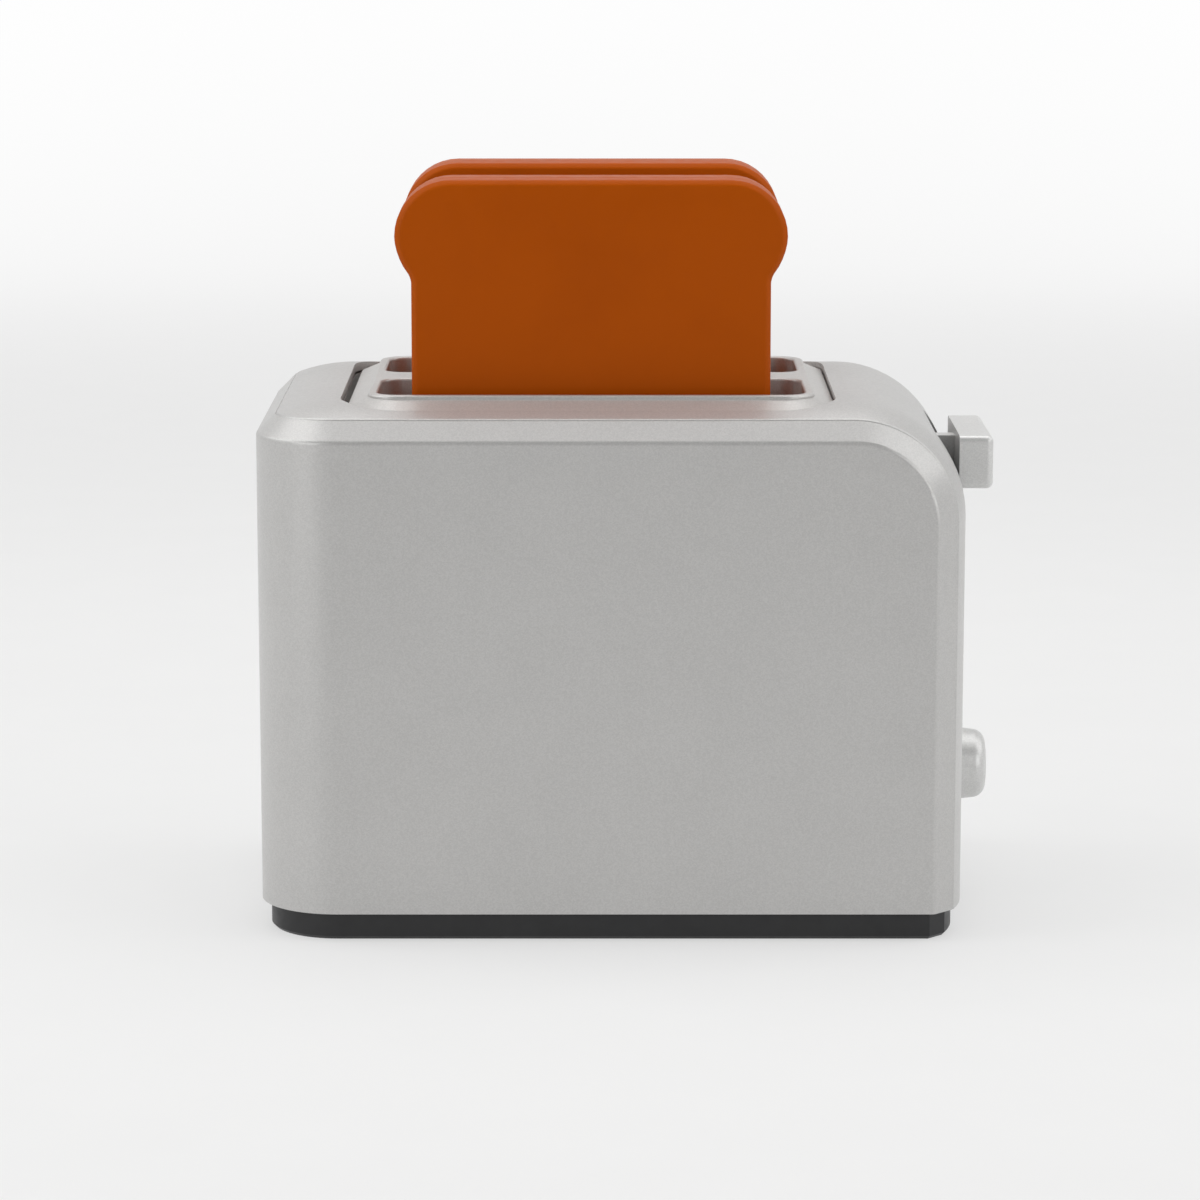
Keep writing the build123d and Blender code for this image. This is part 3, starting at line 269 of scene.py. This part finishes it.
class Finish:
    """A procedural material while its nodes are being joined up."""

    def __init__(self, name):
        self.material = bpy.data.materials.new(name)
        self.material.use_nodes = True
        self.nodes = self.material.node_tree.nodes
        self.links = self.material.node_tree.links
        self.shader = self.nodes["Principled BSDF"]
        self.place = self.nodes.new("ShaderNodeTexCoord").outputs["Object"]

    def set(self, **values):
        """Set constant sockets of the shader."""
        for name, value in values.items():
            self.shader.inputs[name.replace("_", " ")].default_value = value

    def noise(self, scale, detail=2.0, roughness=0.5):
        """Noise pattern on the object's own coordinates."""
        node = self.nodes.new("ShaderNodeTexNoise")
        node.inputs["Scale"].default_value = scale
        node.inputs["Detail"].default_value = detail
        node.inputs["Roughness"].default_value = roughness
        self.links.new(self.place, node.inputs["Vector"])
        return node.outputs["Fac"]

    def cells(self, scale):
        """Random value for each small cell, as of a flake or a grain."""
        node = self.nodes.new("ShaderNodeTexVoronoi")
        node.inputs["Scale"].default_value = scale
        self.links.new(self.place, node.inputs["Vector"])
        split = self.nodes.new("ShaderNodeSeparateColor")
        self.links.new(node.outputs["Color"], split.inputs["Color"])
        return split.outputs["Red"]

    def tint(self, pattern, tones, span=PATTERN_SPAN):
        """Colour between two tones, led by a pattern."""
        ramp = self.nodes.new("ShaderNodeValToRGB")
        for element, tone, position in zip(ramp.color_ramp.elements, tones, span):
            element.position = position
            element.color = (*tone, 1)
        self.links.new(pattern, ramp.inputs["Fac"])
        return ramp.outputs["Color"]

    def blend(self, first, second, amount):
        """Mix of two colour patterns."""
        node = self.nodes.new("ShaderNodeMix")
        node.data_type = "RGBA"
        node.inputs["Factor"].default_value = amount
        self.links.new(first, node.inputs["A"])
        self.links.new(second, node.inputs["B"])
        return node.outputs["Result"]

    def paint(self, tone):
        """Join a colour pattern to the shader."""
        self.links.new(tone, self.shader.inputs["Base Color"])

    def roughen(self, pattern, span):
        """Vary the roughness between two values."""
        node = add_range(self.nodes, PATTERN_SPAN, span)
        self.links.new(pattern, node.inputs["Value"])
        self.links.new(node.outputs["Result"], self.shader.inputs["Roughness"])

    def emboss(self, pattern, relief):
        """Raise the surface a little by a pattern."""
        depth, strength = relief
        node = self.nodes.new("ShaderNodeBump")
        node.inputs["Strength"].default_value = strength
        node.inputs["Distance"].default_value = depth
        self.links.new(pattern, node.inputs["Height"])
        self.links.new(node.outputs["Normal"], self.shader.inputs["Normal"])


def add_range(nodes, source, target):
    """A node that maps one span of values to another."""
    node = nodes.new("ShaderNodeMapRange")
    node.inputs["From Min"].default_value = source[0]
    node.inputs["From Max"].default_value = source[1]
    node.inputs["To Min"].default_value = target[0]
    node.inputs["To Max"].default_value = target[1]
    return node


def scaled(tone, factor):
    """A colour made lighter or darker."""
    return tuple(min(1.0, channel * factor) for channel in tone)


def shaded(tone, factors):
    """The darkest and the lightest shade of a colour."""
    return [scaled(tone, factor) for factor in factors]


def around(value, spread):
    """The two ends of a spread about a value."""
    return [value + offset for offset in spread]


def silver_paint(name, tone, finishes, roughness):
    """Metallic paint: a satin ground with fine bright flakes and a faint orange peel."""
    finish = Finish(name)
    finish.set(Metallic=finishes.silver_metal, Coat_Weight=COAT_WEIGHT, Coat_Roughness=COAT_ROUGHNESS)
    glitter = (1 - finishes.silver_glitter, 1 + finishes.silver_glitter)
    flakes = finish.tint(finish.cells(PAINT_FLAKES), shaded(tone, glitter), FLAKE_SPAN)
    clouds = finish.tint(finish.noise(*PAINT_CLOUDS), shaded(tone, PAINT_SHADES))
    finish.paint(finish.blend(clouds, flakes, FLAKE_SHARE))
    finish.roughen(finish.noise(*PAINT_SHEEN), around(roughness, SATIN_SPREAD))
    finish.emboss(finish.noise(*ORANGE_PEEL), PEEL_RELIEF)
    return finish.material


def moulded_plastic(name, tone, roughness, grain_depth):
    """Moulded plastic with the fine grain of a spark-eroded mould."""
    finish = Finish(name)
    finish.set(Specular_IOR_Level=PLASTIC_SPECULAR)
    finish.paint(finish.tint(finish.noise(*PLASTIC_CLOUDS), shaded(tone, PLASTIC_SHADES)))
    finish.roughen(finish.noise(*PLASTIC_SHEEN), around(roughness, SATIN_SPREAD))
    finish.emboss(finish.noise(*MOULD_GRAIN), (grain_depth, GRAIN_STRENGTH))
    return finish.material


def toast_plastic(finishes):
    """Toast-brown plastic with soft darker clouds and a satin skin."""
    finish = Finish("toast_plastic_finish")
    finish.set(Specular_IOR_Level=TOAST_SPECULAR)
    finish.paint(finish.tint(finish.noise(*TOAST_CLOUDS), (finishes.crust, finishes.toast), TOAST_SPAN))
    finish.roughen(finish.noise(*TOAST_SHEEN), TOAST_ROUGHNESS)
    finish.emboss(finish.noise(*TOAST_SKIN), TOAST_RELIEF)
    return finish.material


def drawn_steel(name, tone, roughness):
    """Steel with faint draw marks and small stains."""
    finish = Finish(name)
    finish.set(Metallic=1.0)
    finish.paint(finish.tint(finish.noise(*STEEL_STAINS), shaded(tone, STEEL_SHADES)))
    finish.roughen(finish.noise(*STEEL_SHEEN), around(roughness, STEEL_SPREAD))
    finish.emboss(finish.noise(*DRAW_MARKS), STEEL_RELIEF)
    return finish.material


def dress(node, material):
    """Give a carried-over node its finish."""
    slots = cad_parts[node].material_slots
    for slot in slots:
        slot.material = material


def begin_piece():
    """Leave edit mode and select nothing."""
    if bpy.context.mode != "OBJECT":
        bpy.ops.object.mode_set(mode="OBJECT")
    bpy.ops.object.select_all(action="DESELECT")


def add_block(name, low, high):
    """A block between two corners, open for editing."""
    begin_piece()
    centre = (low + high) / 2
    bpy.ops.mesh.primitive_cube_add(size=1, location=centre, scale=high - low)
    bpy.ops.object.transform_apply(location=True, rotation=True, scale=True)
    piece = bpy.context.object
    piece.name = name
    piece.data.name = name
    bpy.ops.object.mode_set(mode="EDIT")
    return piece


def select_points(piece, test):
    """Select the points that pass a test, in edit mode."""
    bpy.context.tool_settings.mesh_select_mode = (True, False, False)
    bpy.ops.mesh.select_all(action="DESELECT")
    mesh = bmesh.from_edit_mesh(piece.data)
    for point in mesh.verts:
        point.select_set(test(point.co))
    mesh.select_flush(True)
    bmesh.update_edit_mesh(piece.data)


def select_edges(piece, test):
    """Select the edges whose ends pass a test together, in edit mode."""
    bpy.context.tool_settings.mesh_select_mode = (False, True, False)
    bpy.ops.mesh.select_all(action="DESELECT")
    mesh = bmesh.from_edit_mesh(piece.data)
    for edge in mesh.edges:
        if test(edge.verts[0].co, edge.verts[1].co):
            edge.select_set(True)
    bmesh.update_edit_mesh(piece.data)


def cut_across(height):
    """Cut the whole piece at a height."""
    bpy.ops.mesh.select_all(action="SELECT")
    bpy.ops.mesh.bisect(plane_co=(0, 0, height), plane_no=(0, 0, 1))


def bevel_edges(width, steps):
    """Bevel what is selected."""
    bpy.ops.mesh.bevel(offset_type="OFFSET", offset=width, segments=steps, profile=0.5, clamp_overlap=False)


def close_piece(piece):
    """Merge doubles, turn faces outwards and shade the piece."""
    bpy.ops.mesh.select_all(action="SELECT")
    bpy.ops.mesh.remove_doubles(threshold=MERGE_DISTANCE)
    bpy.ops.mesh.normals_make_consistent(inside=False)
    bpy.ops.object.mode_set(mode="OBJECT")
    bpy.ops.object.shade_smooth_by_angle(angle=SMOOTH_ANGLE)
    return piece


def near(first, second):
    """Whether two places are the same."""
    return abs(first - second) < MERGE_DISTANCE


def model_toast_half(node, side, sizes):
    """One half slice: a block cut at the neck, widened into lobes, rounded and bevelled."""
    low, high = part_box(node)
    overhang = sizes.lobe_overhang
    middle = (low.x + high.x) / 2
    body_low = Vector((low.x + overhang, low.y, low.z))
    body_high = Vector((high.x - overhang, high.y, high.z))
    turn = 2 * asin(sqrt(overhang / (2 * (sizes.lobe_radius + sizes.neck_radius))))
    bend = tan(turn / 2)
    lobe_cut = sizes.lobe_radius * bend
    neck_cut = sizes.neck_radius * bend
    lobe_z = high.z - sizes.lobe_radius - lobe_cut
    neck_z = lobe_z - (lobe_cut + neck_cut) * cos(turn)
    face_y = low.y if side < 0 else high.y
    back_y = high.y if side < 0 else low.y

    piece = add_block(node + "_slice", body_low, body_high)
    cut_across(neck_z)
    cut_across(lobe_z)
    select_points(piece, lambda point: point.z > lobe_z - MERGE_DISTANCE)
    widening = (high.x - low.x) / (body_high.x - body_low.x)
    bpy.ops.transform.resize(value=(widening, 1, 1), center_override=(middle, 0, 0))
    corners = (
        (high.z, high.x, sizes.lobe_radius, sizes.corner_steps),
        (lobe_z, high.x, lobe_cut, sizes.corner_steps // 2),
        (neck_z, body_high.x, neck_cut, sizes.corner_steps // 2),
        (low.z, body_high.x, sizes.foot_radius, sizes.corner_steps // 2),
    )
    for corner_z, corner_x, width, steps in corners:
        reach = corner_x - middle

        def at_corner(one, two):
            level = near(one.z, corner_z) and near(two.z, corner_z)
            upright = near(one.x, two.x) and near(abs(one.x - middle), reach)
            return level and upright

        select_edges(piece, at_corner)
        bevel_edges(width, steps)
    bpy.ops.mesh.select_all(action="SELECT")
    bpy.ops.mesh.remove_doubles(threshold=MERGE_DISTANCE)
    bpy.ops.mesh.select_all(action="SELECT")
    bpy.ops.mesh.dissolve_limited(angle_limit=FLAT_ANGLE)
    select_edges(piece, lambda one, two: near(one.y, face_y) and near(two.y, face_y))
    bevel_edges(sizes.edge_bevel, 1)
    border_y = face_y - side * sizes.edge_bevel
    select_edges(
        piece,
        lambda one, two: near(one.y, two.y) and (near(one.y, face_y) or near(one.y, border_y)),
    )
    bevel_edges(sizes.edge_softness, SOFT_STEPS)
    select_edges(piece, lambda one, two: near(one.y, back_y) and near(two.y, back_y))
    bevel_edges(sizes.parting, 1)
    return close_piece(piece)


def upright_places(node, apart):
    """Middles, seen from above, of the like solids in one node."""
    groups = []
    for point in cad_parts[node].data.vertices:
        for group in groups:
            if (group[0].xy - point.co.xy).length < apart:
                group.append(point.co.copy())
                break
        else:
            groups.append([point.co.copy()])
    places = []
    for group in groups:
        across = [(min(values) + max(values)) / 2 for values in zip(*group)]
        places.append(Vector((across[0], across[1], 0)))
    return places


def add_drum(name, radius, low_z, high_z, sides):
    """An upright drum on the middle line, open for editing."""
    begin_piece()
    middle_z = (low_z + high_z) / 2
    bpy.ops.mesh.primitive_cylinder_add(
        vertices=sides, radius=radius, depth=high_z - low_z, location=(0, 0, middle_z),
    )
    bpy.ops.object.transform_apply(location=True, rotation=True, scale=True)
    piece = bpy.context.object
    piece.name = name
    piece.data.name = name
    bpy.ops.object.mode_set(mode="EDIT")
    return piece


def select_cap(piece, height):
    """Select the flat end of a piece at a height, in edit mode."""
    bpy.context.tool_settings.mesh_select_mode = (False, False, True)
    bpy.ops.mesh.select_all(action="DESELECT")
    mesh = bmesh.from_edit_mesh(piece.data)
    for face in mesh.faces:
        face.select_set(all(near(point.co.z, height) for point in face.verts))
    bmesh.update_edit_mesh(piece.data)


def cut_with(piece, cutter):
    """Take one shape out of another and throw the cutter away."""
    begin_piece()
    bpy.context.view_layer.objects.active = piece
    piece.select_set(True)
    cut = piece.modifiers.new("cut", "BOOLEAN")
    cut.operation = "DIFFERENCE"
    cut.solver = "EXACT"
    cut.object = cutter
    bpy.ops.object.modifier_apply(modifier=cut.name)
    bpy.data.objects.remove(cutter)


def model_screw(name, sizes, head_z, tip_z):
    """One base screw on the middle line: drum, drawn-out shank and a cross cut into the head."""
    seat_z = head_z + sizes.screw_head_height
    screw = add_drum(name, sizes.screw_head, head_z, seat_z, SCREW_SIDES)
    select_edges(screw, lambda one, two: near(one.z, head_z) and near(two.z, head_z))
    bevel_edges(sizes.screw_head_height * SCREW_DOME_SHARE, SCREW_DOME_STEPS)
    select_cap(screw, seat_z)
    bpy.ops.mesh.inset(thickness=sizes.screw_head - sizes.screw_shank)
    bpy.ops.mesh.extrude_region_move(TRANSFORM_OT_translate={"value": (0, 0, tip_z - seat_z)})
    select_edges(screw, lambda one, two: near(one.z, tip_z) and near(two.z, tip_z))
    bevel_edges(sizes.screw_shank * SCREW_TIP_SHARE, 1)
    close_piece(screw)
    arm = Vector((sizes.screw_recess / 2, sizes.screw_recess_width / 2, sizes.screw_recess_depth))
    for turned in (False, True):
        reach = Vector((arm.y, arm.x, arm.z)) if turned else arm
        foot = Vector((0, 0, head_z))
        cutter = add_block("screw_cross", foot - reach, foot + reach)
        select_edges(cutter, lambda one, two: max(one.z, two.z) > head_z)
        bevel_edges(sizes.screw_recess_width * CROSS_DRAFT_SHARE, 1)
        close_piece(cutter)
        cut_with(screw, cutter)
    begin_piece()
    screw.select_set(True)
    bpy.context.view_layer.objects.active = screw
    bpy.ops.object.shade_smooth_by_angle(angle=SMOOTH_ANGLE)
    return screw


def copy_piece(piece, name, shift):
    """A copy with its own mesh, moved to its place."""
    begin_piece()
    bpy.context.view_layer.objects.active = piece
    piece.select_set(True)
    bpy.ops.object.duplicate(linked=False)
    copy = bpy.context.object
    copy.name = name
    copy.data.name = name
    bpy.ops.transform.translate(value=shift)
    bpy.ops.object.transform_apply(location=True, rotation=True, scale=True)
    return copy


def model_coil(name, radius, wire, turns, span, axis):
    """Coil spring from the origin along one axis: a ring of wire, wound up and closed at both ends."""
    begin_piece()
    start = (radius, 0, wire) if axis == "Z" else (wire, 0, radius)
    bpy.ops.mesh.primitive_circle_add(
        vertices=WIRE_SIDES, radius=wire, location=start, rotation=(pi / 2, 0, 0),
    )
    bpy.ops.object.transform_apply(location=True, rotation=True, scale=True)
    piece = bpy.context.object
    piece.name = name
    piece.data.name = name
    winding = piece.modifiers.new("winding", "SCREW")
    winding.axis = axis
    winding.angle = 2 * pi
    winding.iterations = turns
    winding.screw_offset = (span - 2 * wire) / turns
    winding.steps = COIL_STEPS
    winding.render_steps = COIL_STEPS
    bpy.ops.object.modifier_apply(modifier=winding.name)
    bpy.ops.object.mode_set(mode="EDIT")
    bpy.ops.mesh.select_all(action="SELECT")
    bpy.ops.mesh.fill_holes(sides=0)
    return close_piece(piece)


def hold_spring(spring, node):
    """Let a spring stand for its node, on the housing, with a mesh of its own."""
    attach(spring, "housing")
    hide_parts(node)
    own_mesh(spring)


class TOASTER_OT_body(bpy.types.Operator):
    """Paint the cover, the side shells and the slot frame silver"""

    bl_idname = "toaster.body"
    bl_label = "Body"

    def execute(self, context):
        finishes = context.scene.toaster_finishes
        paint = silver_paint("silver_plastic_finish", finishes.silver, finishes, finishes.silver_gloss)
        for node in SILVER_NODES:
            dress(node, paint)
        # The slot frame gets a lighter copy of the body paint: a painted highlight on its bead.
        rim_with_painted_highlight = silver_paint("rim_plastic_finish", finishes.rim_with_painted_highlight, finishes, finishes.silver_gloss)
        dress("slot_frame", rim_with_painted_highlight)
        return {"FINISHED"}


class TOASTER_OT_controls(bpy.types.Operator):
    """Finish the lever, the knob and the button"""

    bl_idname = "toaster.controls"
    bl_label = "Controls"

    def execute(self, context):
        finishes = context.scene.toaster_finishes
        paint = silver_paint("lever_plastic_finish", finishes.control, finishes, finishes.silver_gloss)
        for node in CONTROL_NODES:
            dress(node, paint)
        plastic = moulded_plastic(
            "button_plastic_finish", finishes.button, BUTTON_ROUGHNESS, POLISHED_GRAIN,
        )
        dress("stop_button", plastic)
        return {"FINISHED"}


class TOASTER_OT_plinth(bpy.types.Operator):
    """Finish the black plinth"""

    bl_idname = "toaster.plinth"
    bl_label = "Plinth"

    def execute(self, context):
        finishes = context.scene.toaster_finishes
        plastic = moulded_plastic("black_plastic_finish", finishes.black, PLINTH_ROUGHNESS, COARSE_GRAIN)
        dress("base_plate", plastic)
        return {"FINISHED"}


class TOASTER_OT_screws(bpy.types.Operator):
    """Model the cross-recessed screws under the plinth"""

    bl_idname = "toaster.screws"
    bl_label = "Base screws"

    def execute(self, context):
        sizes = context.scene.toaster_sizes
        finish = drawn_steel("screw_steel_finish", context.scene.toaster_finishes.zinc, STEEL_ROUGHNESS)
        low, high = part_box("base_screws")
        pattern = model_screw("screw_pattern", sizes, low.z, high.z)
        pattern.data.materials.clear()
        pattern.data.materials.append(finish)
        places = upright_places("base_screws", SCREWS_APART * sizes.screw_head)
        for number, place in enumerate(places, start=1):
            screw = copy_piece(pattern, f"base_screw_{number}", place)
            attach(screw, "housing")
            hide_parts("base_screws")
        bpy.data.objects.remove(pattern)
        return {"FINISHED"}


class TOASTER_OT_springs(bpy.types.Operator):
    """Wind the return springs and the button's spring"""

    bl_idname = "toaster.springs"
    bl_label = "Springs"

    def execute(self, context):
        sizes = context.scene.toaster_sizes
        steel = scaled(context.scene.toaster_finishes.steel, SPRING_SHADE)
        finish = drawn_steel("spring_wire_finish", steel, STEEL_ROUGHNESS)
        low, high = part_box("return_springs")
        span = high.z - low.z
        radius = sizes.spring_radius
        pattern = model_coil("spring_pattern", radius, sizes.spring_wire, sizes.spring_turns, span, "Z")
        pattern.data.materials.append(finish)
        places = upright_places("return_springs", SPRINGS_APART * radius)
        for number, place in enumerate(places, start=1):
            seat = Vector((place.x, place.y, low.z))
            spring = copy_piece(pattern, f"return_spring_{number}", seat)
            hold_spring(spring, "return_springs")
        bpy.data.objects.remove(pattern)
        low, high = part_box("button_spring")
        span = high.x - low.x
        radius = sizes.button_spring_radius
        turns = sizes.button_spring_turns
        pattern = model_coil("spring_pattern", radius, sizes.button_spring_wire, turns, span, "X")
        pattern.data.materials.append(finish)
        seat = Vector((low.x, (low.y + high.y) / 2, (low.z + high.z) / 2))
        spring = copy_piece(pattern, "button_spring_wire", seat)
        hold_spring(spring, "button_spring")
        bpy.data.objects.remove(pattern)
        return {"FINISHED"}


class TOASTER_OT_works(bpy.types.Operator):
    """Finish the carriage, rods, cam, flat springs and small screws inside the body"""

    bl_idname = "toaster.works"
    bl_label = "Works"

    def execute(self, context):
        finishes = context.scene.toaster_finishes
        slider = moulded_plastic(
            "carriage_plastic_finish", finishes.carriage, CARRIAGE_ROUGHNESS, COARSE_GRAIN,
        )
        dress("carriage", slider)
        cam = moulded_plastic("cam_plastic_finish", finishes.cam, CAM_ROUGHNESS, FINE_GRAIN)
        dress("release_cam", cam)
        rod = drawn_steel("rod_steel_finish", finishes.steel, ROD_ROUGHNESS)
        dress("guide_rods", rod)
        steel = scaled(finishes.steel, SPRING_SHADE)
        spring = drawn_steel("spring_steel_finish", steel, STEEL_ROUGHNESS)
        for node in FLAT_SPRING_NODES:
            dress(node, spring)
        screw = drawn_steel("small_screw_finish", finishes.zinc, STEEL_ROUGHNESS)
        for node in SMALL_SCREW_NODES:
            dress(node, screw)
        return {"FINISHED"}


class TOASTER_OT_toast(bpy.types.Operator):
    """Model the two toast slices, each of two moulded halves"""

    bl_idname = "toaster.toast"
    bl_label = "Toast slices"

    def execute(self, context):
        finish = toast_plastic(context.scene.toaster_finishes)
        for node, (body, side) in TOAST_HALVES.items():
            piece = model_toast_half(node, side, context.scene.toaster_sizes)
            piece.data.materials.append(finish)
            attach(piece, body)
            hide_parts(node)
        return {"FINISHED"}


def add_soft_box(name, place, size, watts):
    """A flat lamp that points at the object."""
    begin_piece()
    bpy.ops.object.light_add(type="AREA", location=place)
    lamp = bpy.context.object
    lamp.name = name
    lamp.data.shape = "RECTANGLE"
    lamp.data.size = size[0]
    lamp.data.size_y = size[1]
    lamp.data.energy = watts
    aim = Vector(LAMP_AIM) - Vector(place)
    lamp.rotation_euler = aim.to_track_quat("-Z", "Y").to_euler()


def floor_finish(stage):
    """Pale paper with a faint tooth, white to the eye and in mirrors."""
    finish = Finish("floor_paper")
    finish.set(Roughness=PAPER_ROUGHNESS, Specular_IOR_Level=PAPER_SPECULAR)
    finish.paint(finish.tint(finish.noise(*PAPER_TOOTH), shaded(stage.floor, PAPER_SHADES)))
    reach = finish.nodes.new("ShaderNodeVectorMath")
    reach.operation = "LENGTH"
    finish.links.new(finish.place, reach.inputs["Vector"])
    white = add_range(finish.nodes, (stage.white_start, stage.white_end), (stage.floor_glow, 1))
    white.interpolation_type = "SMOOTHSTEP"
    finish.links.new(reach.outputs["Value"], white.inputs["Value"])
    rays = finish.nodes.new("ShaderNodeLightPath")
    seen = finish.nodes.new("ShaderNodeMath")
    seen.operation = "MULTIPLY"
    finish.links.new(rays.outputs["Is Camera Ray"], seen.inputs[0])
    finish.links.new(white.outputs["Result"], seen.inputs[1])
    amount = seen.outputs["Value"]
    for name in ("Is Glossy Ray", "Is Transmission Ray"):
        mirrored = finish.nodes.new("ShaderNodeMath")
        mirrored.operation = "MULTIPLY_ADD"
        mirrored.inputs[1].default_value = stage.mirror_glow
        finish.links.new(rays.outputs[name], mirrored.inputs[0])
        finish.links.new(amount, mirrored.inputs[2])
        amount = mirrored.outputs["Value"]
    glow = finish.nodes.new("ShaderNodeEmission")
    glow.inputs["Strength"].default_value = 1.0
    mixed = finish.nodes.new("ShaderNodeMixShader")
    finish.links.new(amount, mixed.inputs["Fac"])
    finish.links.new(finish.shader.outputs["BSDF"], mixed.inputs[1])
    finish.links.new(glow.outputs["Emission"], mixed.inputs[2])
    finish.links.new(mixed.outputs["Shader"], finish.nodes["Material Output"].inputs["Surface"])
    return finish.material


def light_world(stage):
    """Even light from all round, seen as white by the camera."""
    world = bpy.data.worlds.new("studio")
    bpy.context.scene.world = world
    world.use_nodes = True
    nodes = world.node_tree.nodes
    links = world.node_tree.links
    background = nodes["Background"]
    split = nodes.new("ShaderNodeSeparateXYZ")
    links.new(nodes.new("ShaderNodeTexCoord").outputs["Generated"], split.inputs["Vector"])
    fade = add_range(nodes, SKY_FADE, (stage.horizon, stage.zenith))
    fade.interpolation_type = "SMOOTHSTEP"
    links.new(split.outputs["Z"], fade.inputs["Value"])
    front = add_range(nodes, FRONT_FADE, (stage.front, 1))
    front.interpolation_type = "SMOOTHSTEP"
    links.new(split.outputs["Y"], front.inputs["Value"])
    level = nodes.new("ShaderNodeMath")
    level.operation = "MULTIPLY"
    links.new(fade.outputs["Result"], level.inputs[0])
    links.new(front.outputs["Result"], level.inputs[1])
    rays = nodes.new("ShaderNodeLightPath")
    seen = add_range(nodes, (0, 1), (0, 1))
    links.new(rays.outputs["Is Camera Ray"], seen.inputs["Value"])
    links.new(level.outputs["Value"], seen.inputs["To Min"])
    links.new(seen.outputs["Result"], background.inputs["Strength"])
    background.inputs["Color"].default_value = WHITE


class TOASTER_OT_stage(bpy.types.Operator):
    """Lay the floor, hang the lamps and stand the camera where the photo was taken"""

    bl_idname = "toaster.stage"
    bl_label = "Stage"

    def execute(self, context):
        stage = context.scene.toaster_stage
        begin_piece()
        bpy.ops.mesh.primitive_plane_add(size=1)
        floor = context.object
        floor.name = "floor"
        bpy.ops.object.mode_set(mode="EDIT")
        bpy.ops.transform.resize(value=(*FLOOR_SIZE, 1))
        bpy.ops.transform.translate(value=FLOOR_PLACE)
        select_edges(floor, lambda one, two: min(one.y, two.y) > 0)
        bpy.ops.mesh.extrude_region_move(TRANSFORM_OT_translate={"value": (0, 0, BACKDROP_HEIGHT)})
        select_edges(floor, lambda one, two: min(one.y, two.y) > 0 and max(one.z, two.z) < 0)
        bevel_edges(COVE_RADIUS, COVE_STEPS)
        close_piece(floor)
        floor.data.materials.append(floor_finish(stage))
        light_world(stage)
        for name, place, size, setting in SOFT_BOXES:
            add_soft_box(name, place, size, getattr(stage, setting))
        begin_piece()
        tilt = pi / 2 - stage.camera_pitch
        bpy.ops.object.camera_add(location=stage.camera_place, rotation=(tilt, 0, 0))
        camera = context.object
        camera.data.sensor_fit = "HORIZONTAL"
        camera.data.angle = stage.field_of_view
        context.scene.camera = camera
        context.scene.view_settings.view_transform = "Standard"
        return {"FINISHED"}


class TOASTER_PT_panel(bpy.types.Panel):
    """Sidebar panel with the toaster's settings and steps"""

    bl_idname = "TOASTER_PT_panel"
    bl_label = "Toy toaster"
    bl_space_type = "VIEW_3D"
    bl_region_type = "UI"
    bl_category = "Toaster"

    def draw(self, context):
        layout = self.layout
        for step in STEPS:
            layout.operator(step.bl_idname)
        for name, group in GROUPS.items():
            box = layout.box()
            for setting in group.__annotations__:
                box.prop(getattr(context.scene, name), setting)


GROUPS = {
    "toaster_finishes": ToasterFinishes,
    "toaster_sizes": ToasterSizes,
    "toaster_stage": ToasterStage,
}
STEPS = (
    TOASTER_OT_body,
    TOASTER_OT_controls,
    TOASTER_OT_plinth,
    TOASTER_OT_screws,
    TOASTER_OT_springs,
    TOASTER_OT_works,
    TOASTER_OT_toast,
    TOASTER_OT_stage,
)


def register():
    """Register the settings, the steps and the panel."""
    for name, group in GROUPS.items():
        bpy.utils.register_class(group)
        setattr(bpy.types.Scene, name, PointerProperty(type=group))
    for step in STEPS:
        bpy.utils.register_class(step)
    bpy.utils.register_class(TOASTER_PT_panel)


def unregister():
    """Take everything out again."""
    bpy.utils.unregister_class(TOASTER_PT_panel)
    for step in reversed(STEPS):
        bpy.utils.unregister_class(step)
    for name, group in reversed(GROUPS.items()):
        delattr(bpy.types.Scene, name)
        bpy.utils.unregister_class(group)


def main():
    """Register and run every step."""
    register()
    bpy.ops.toaster.body()
    bpy.ops.toaster.controls()
    bpy.ops.toaster.plinth()
    bpy.ops.toaster.screws()
    bpy.ops.toaster.springs()
    bpy.ops.toaster.works()
    bpy.ops.toaster.toast()
    bpy.ops.toaster.stage()


if __name__ == "__main__":
    main()
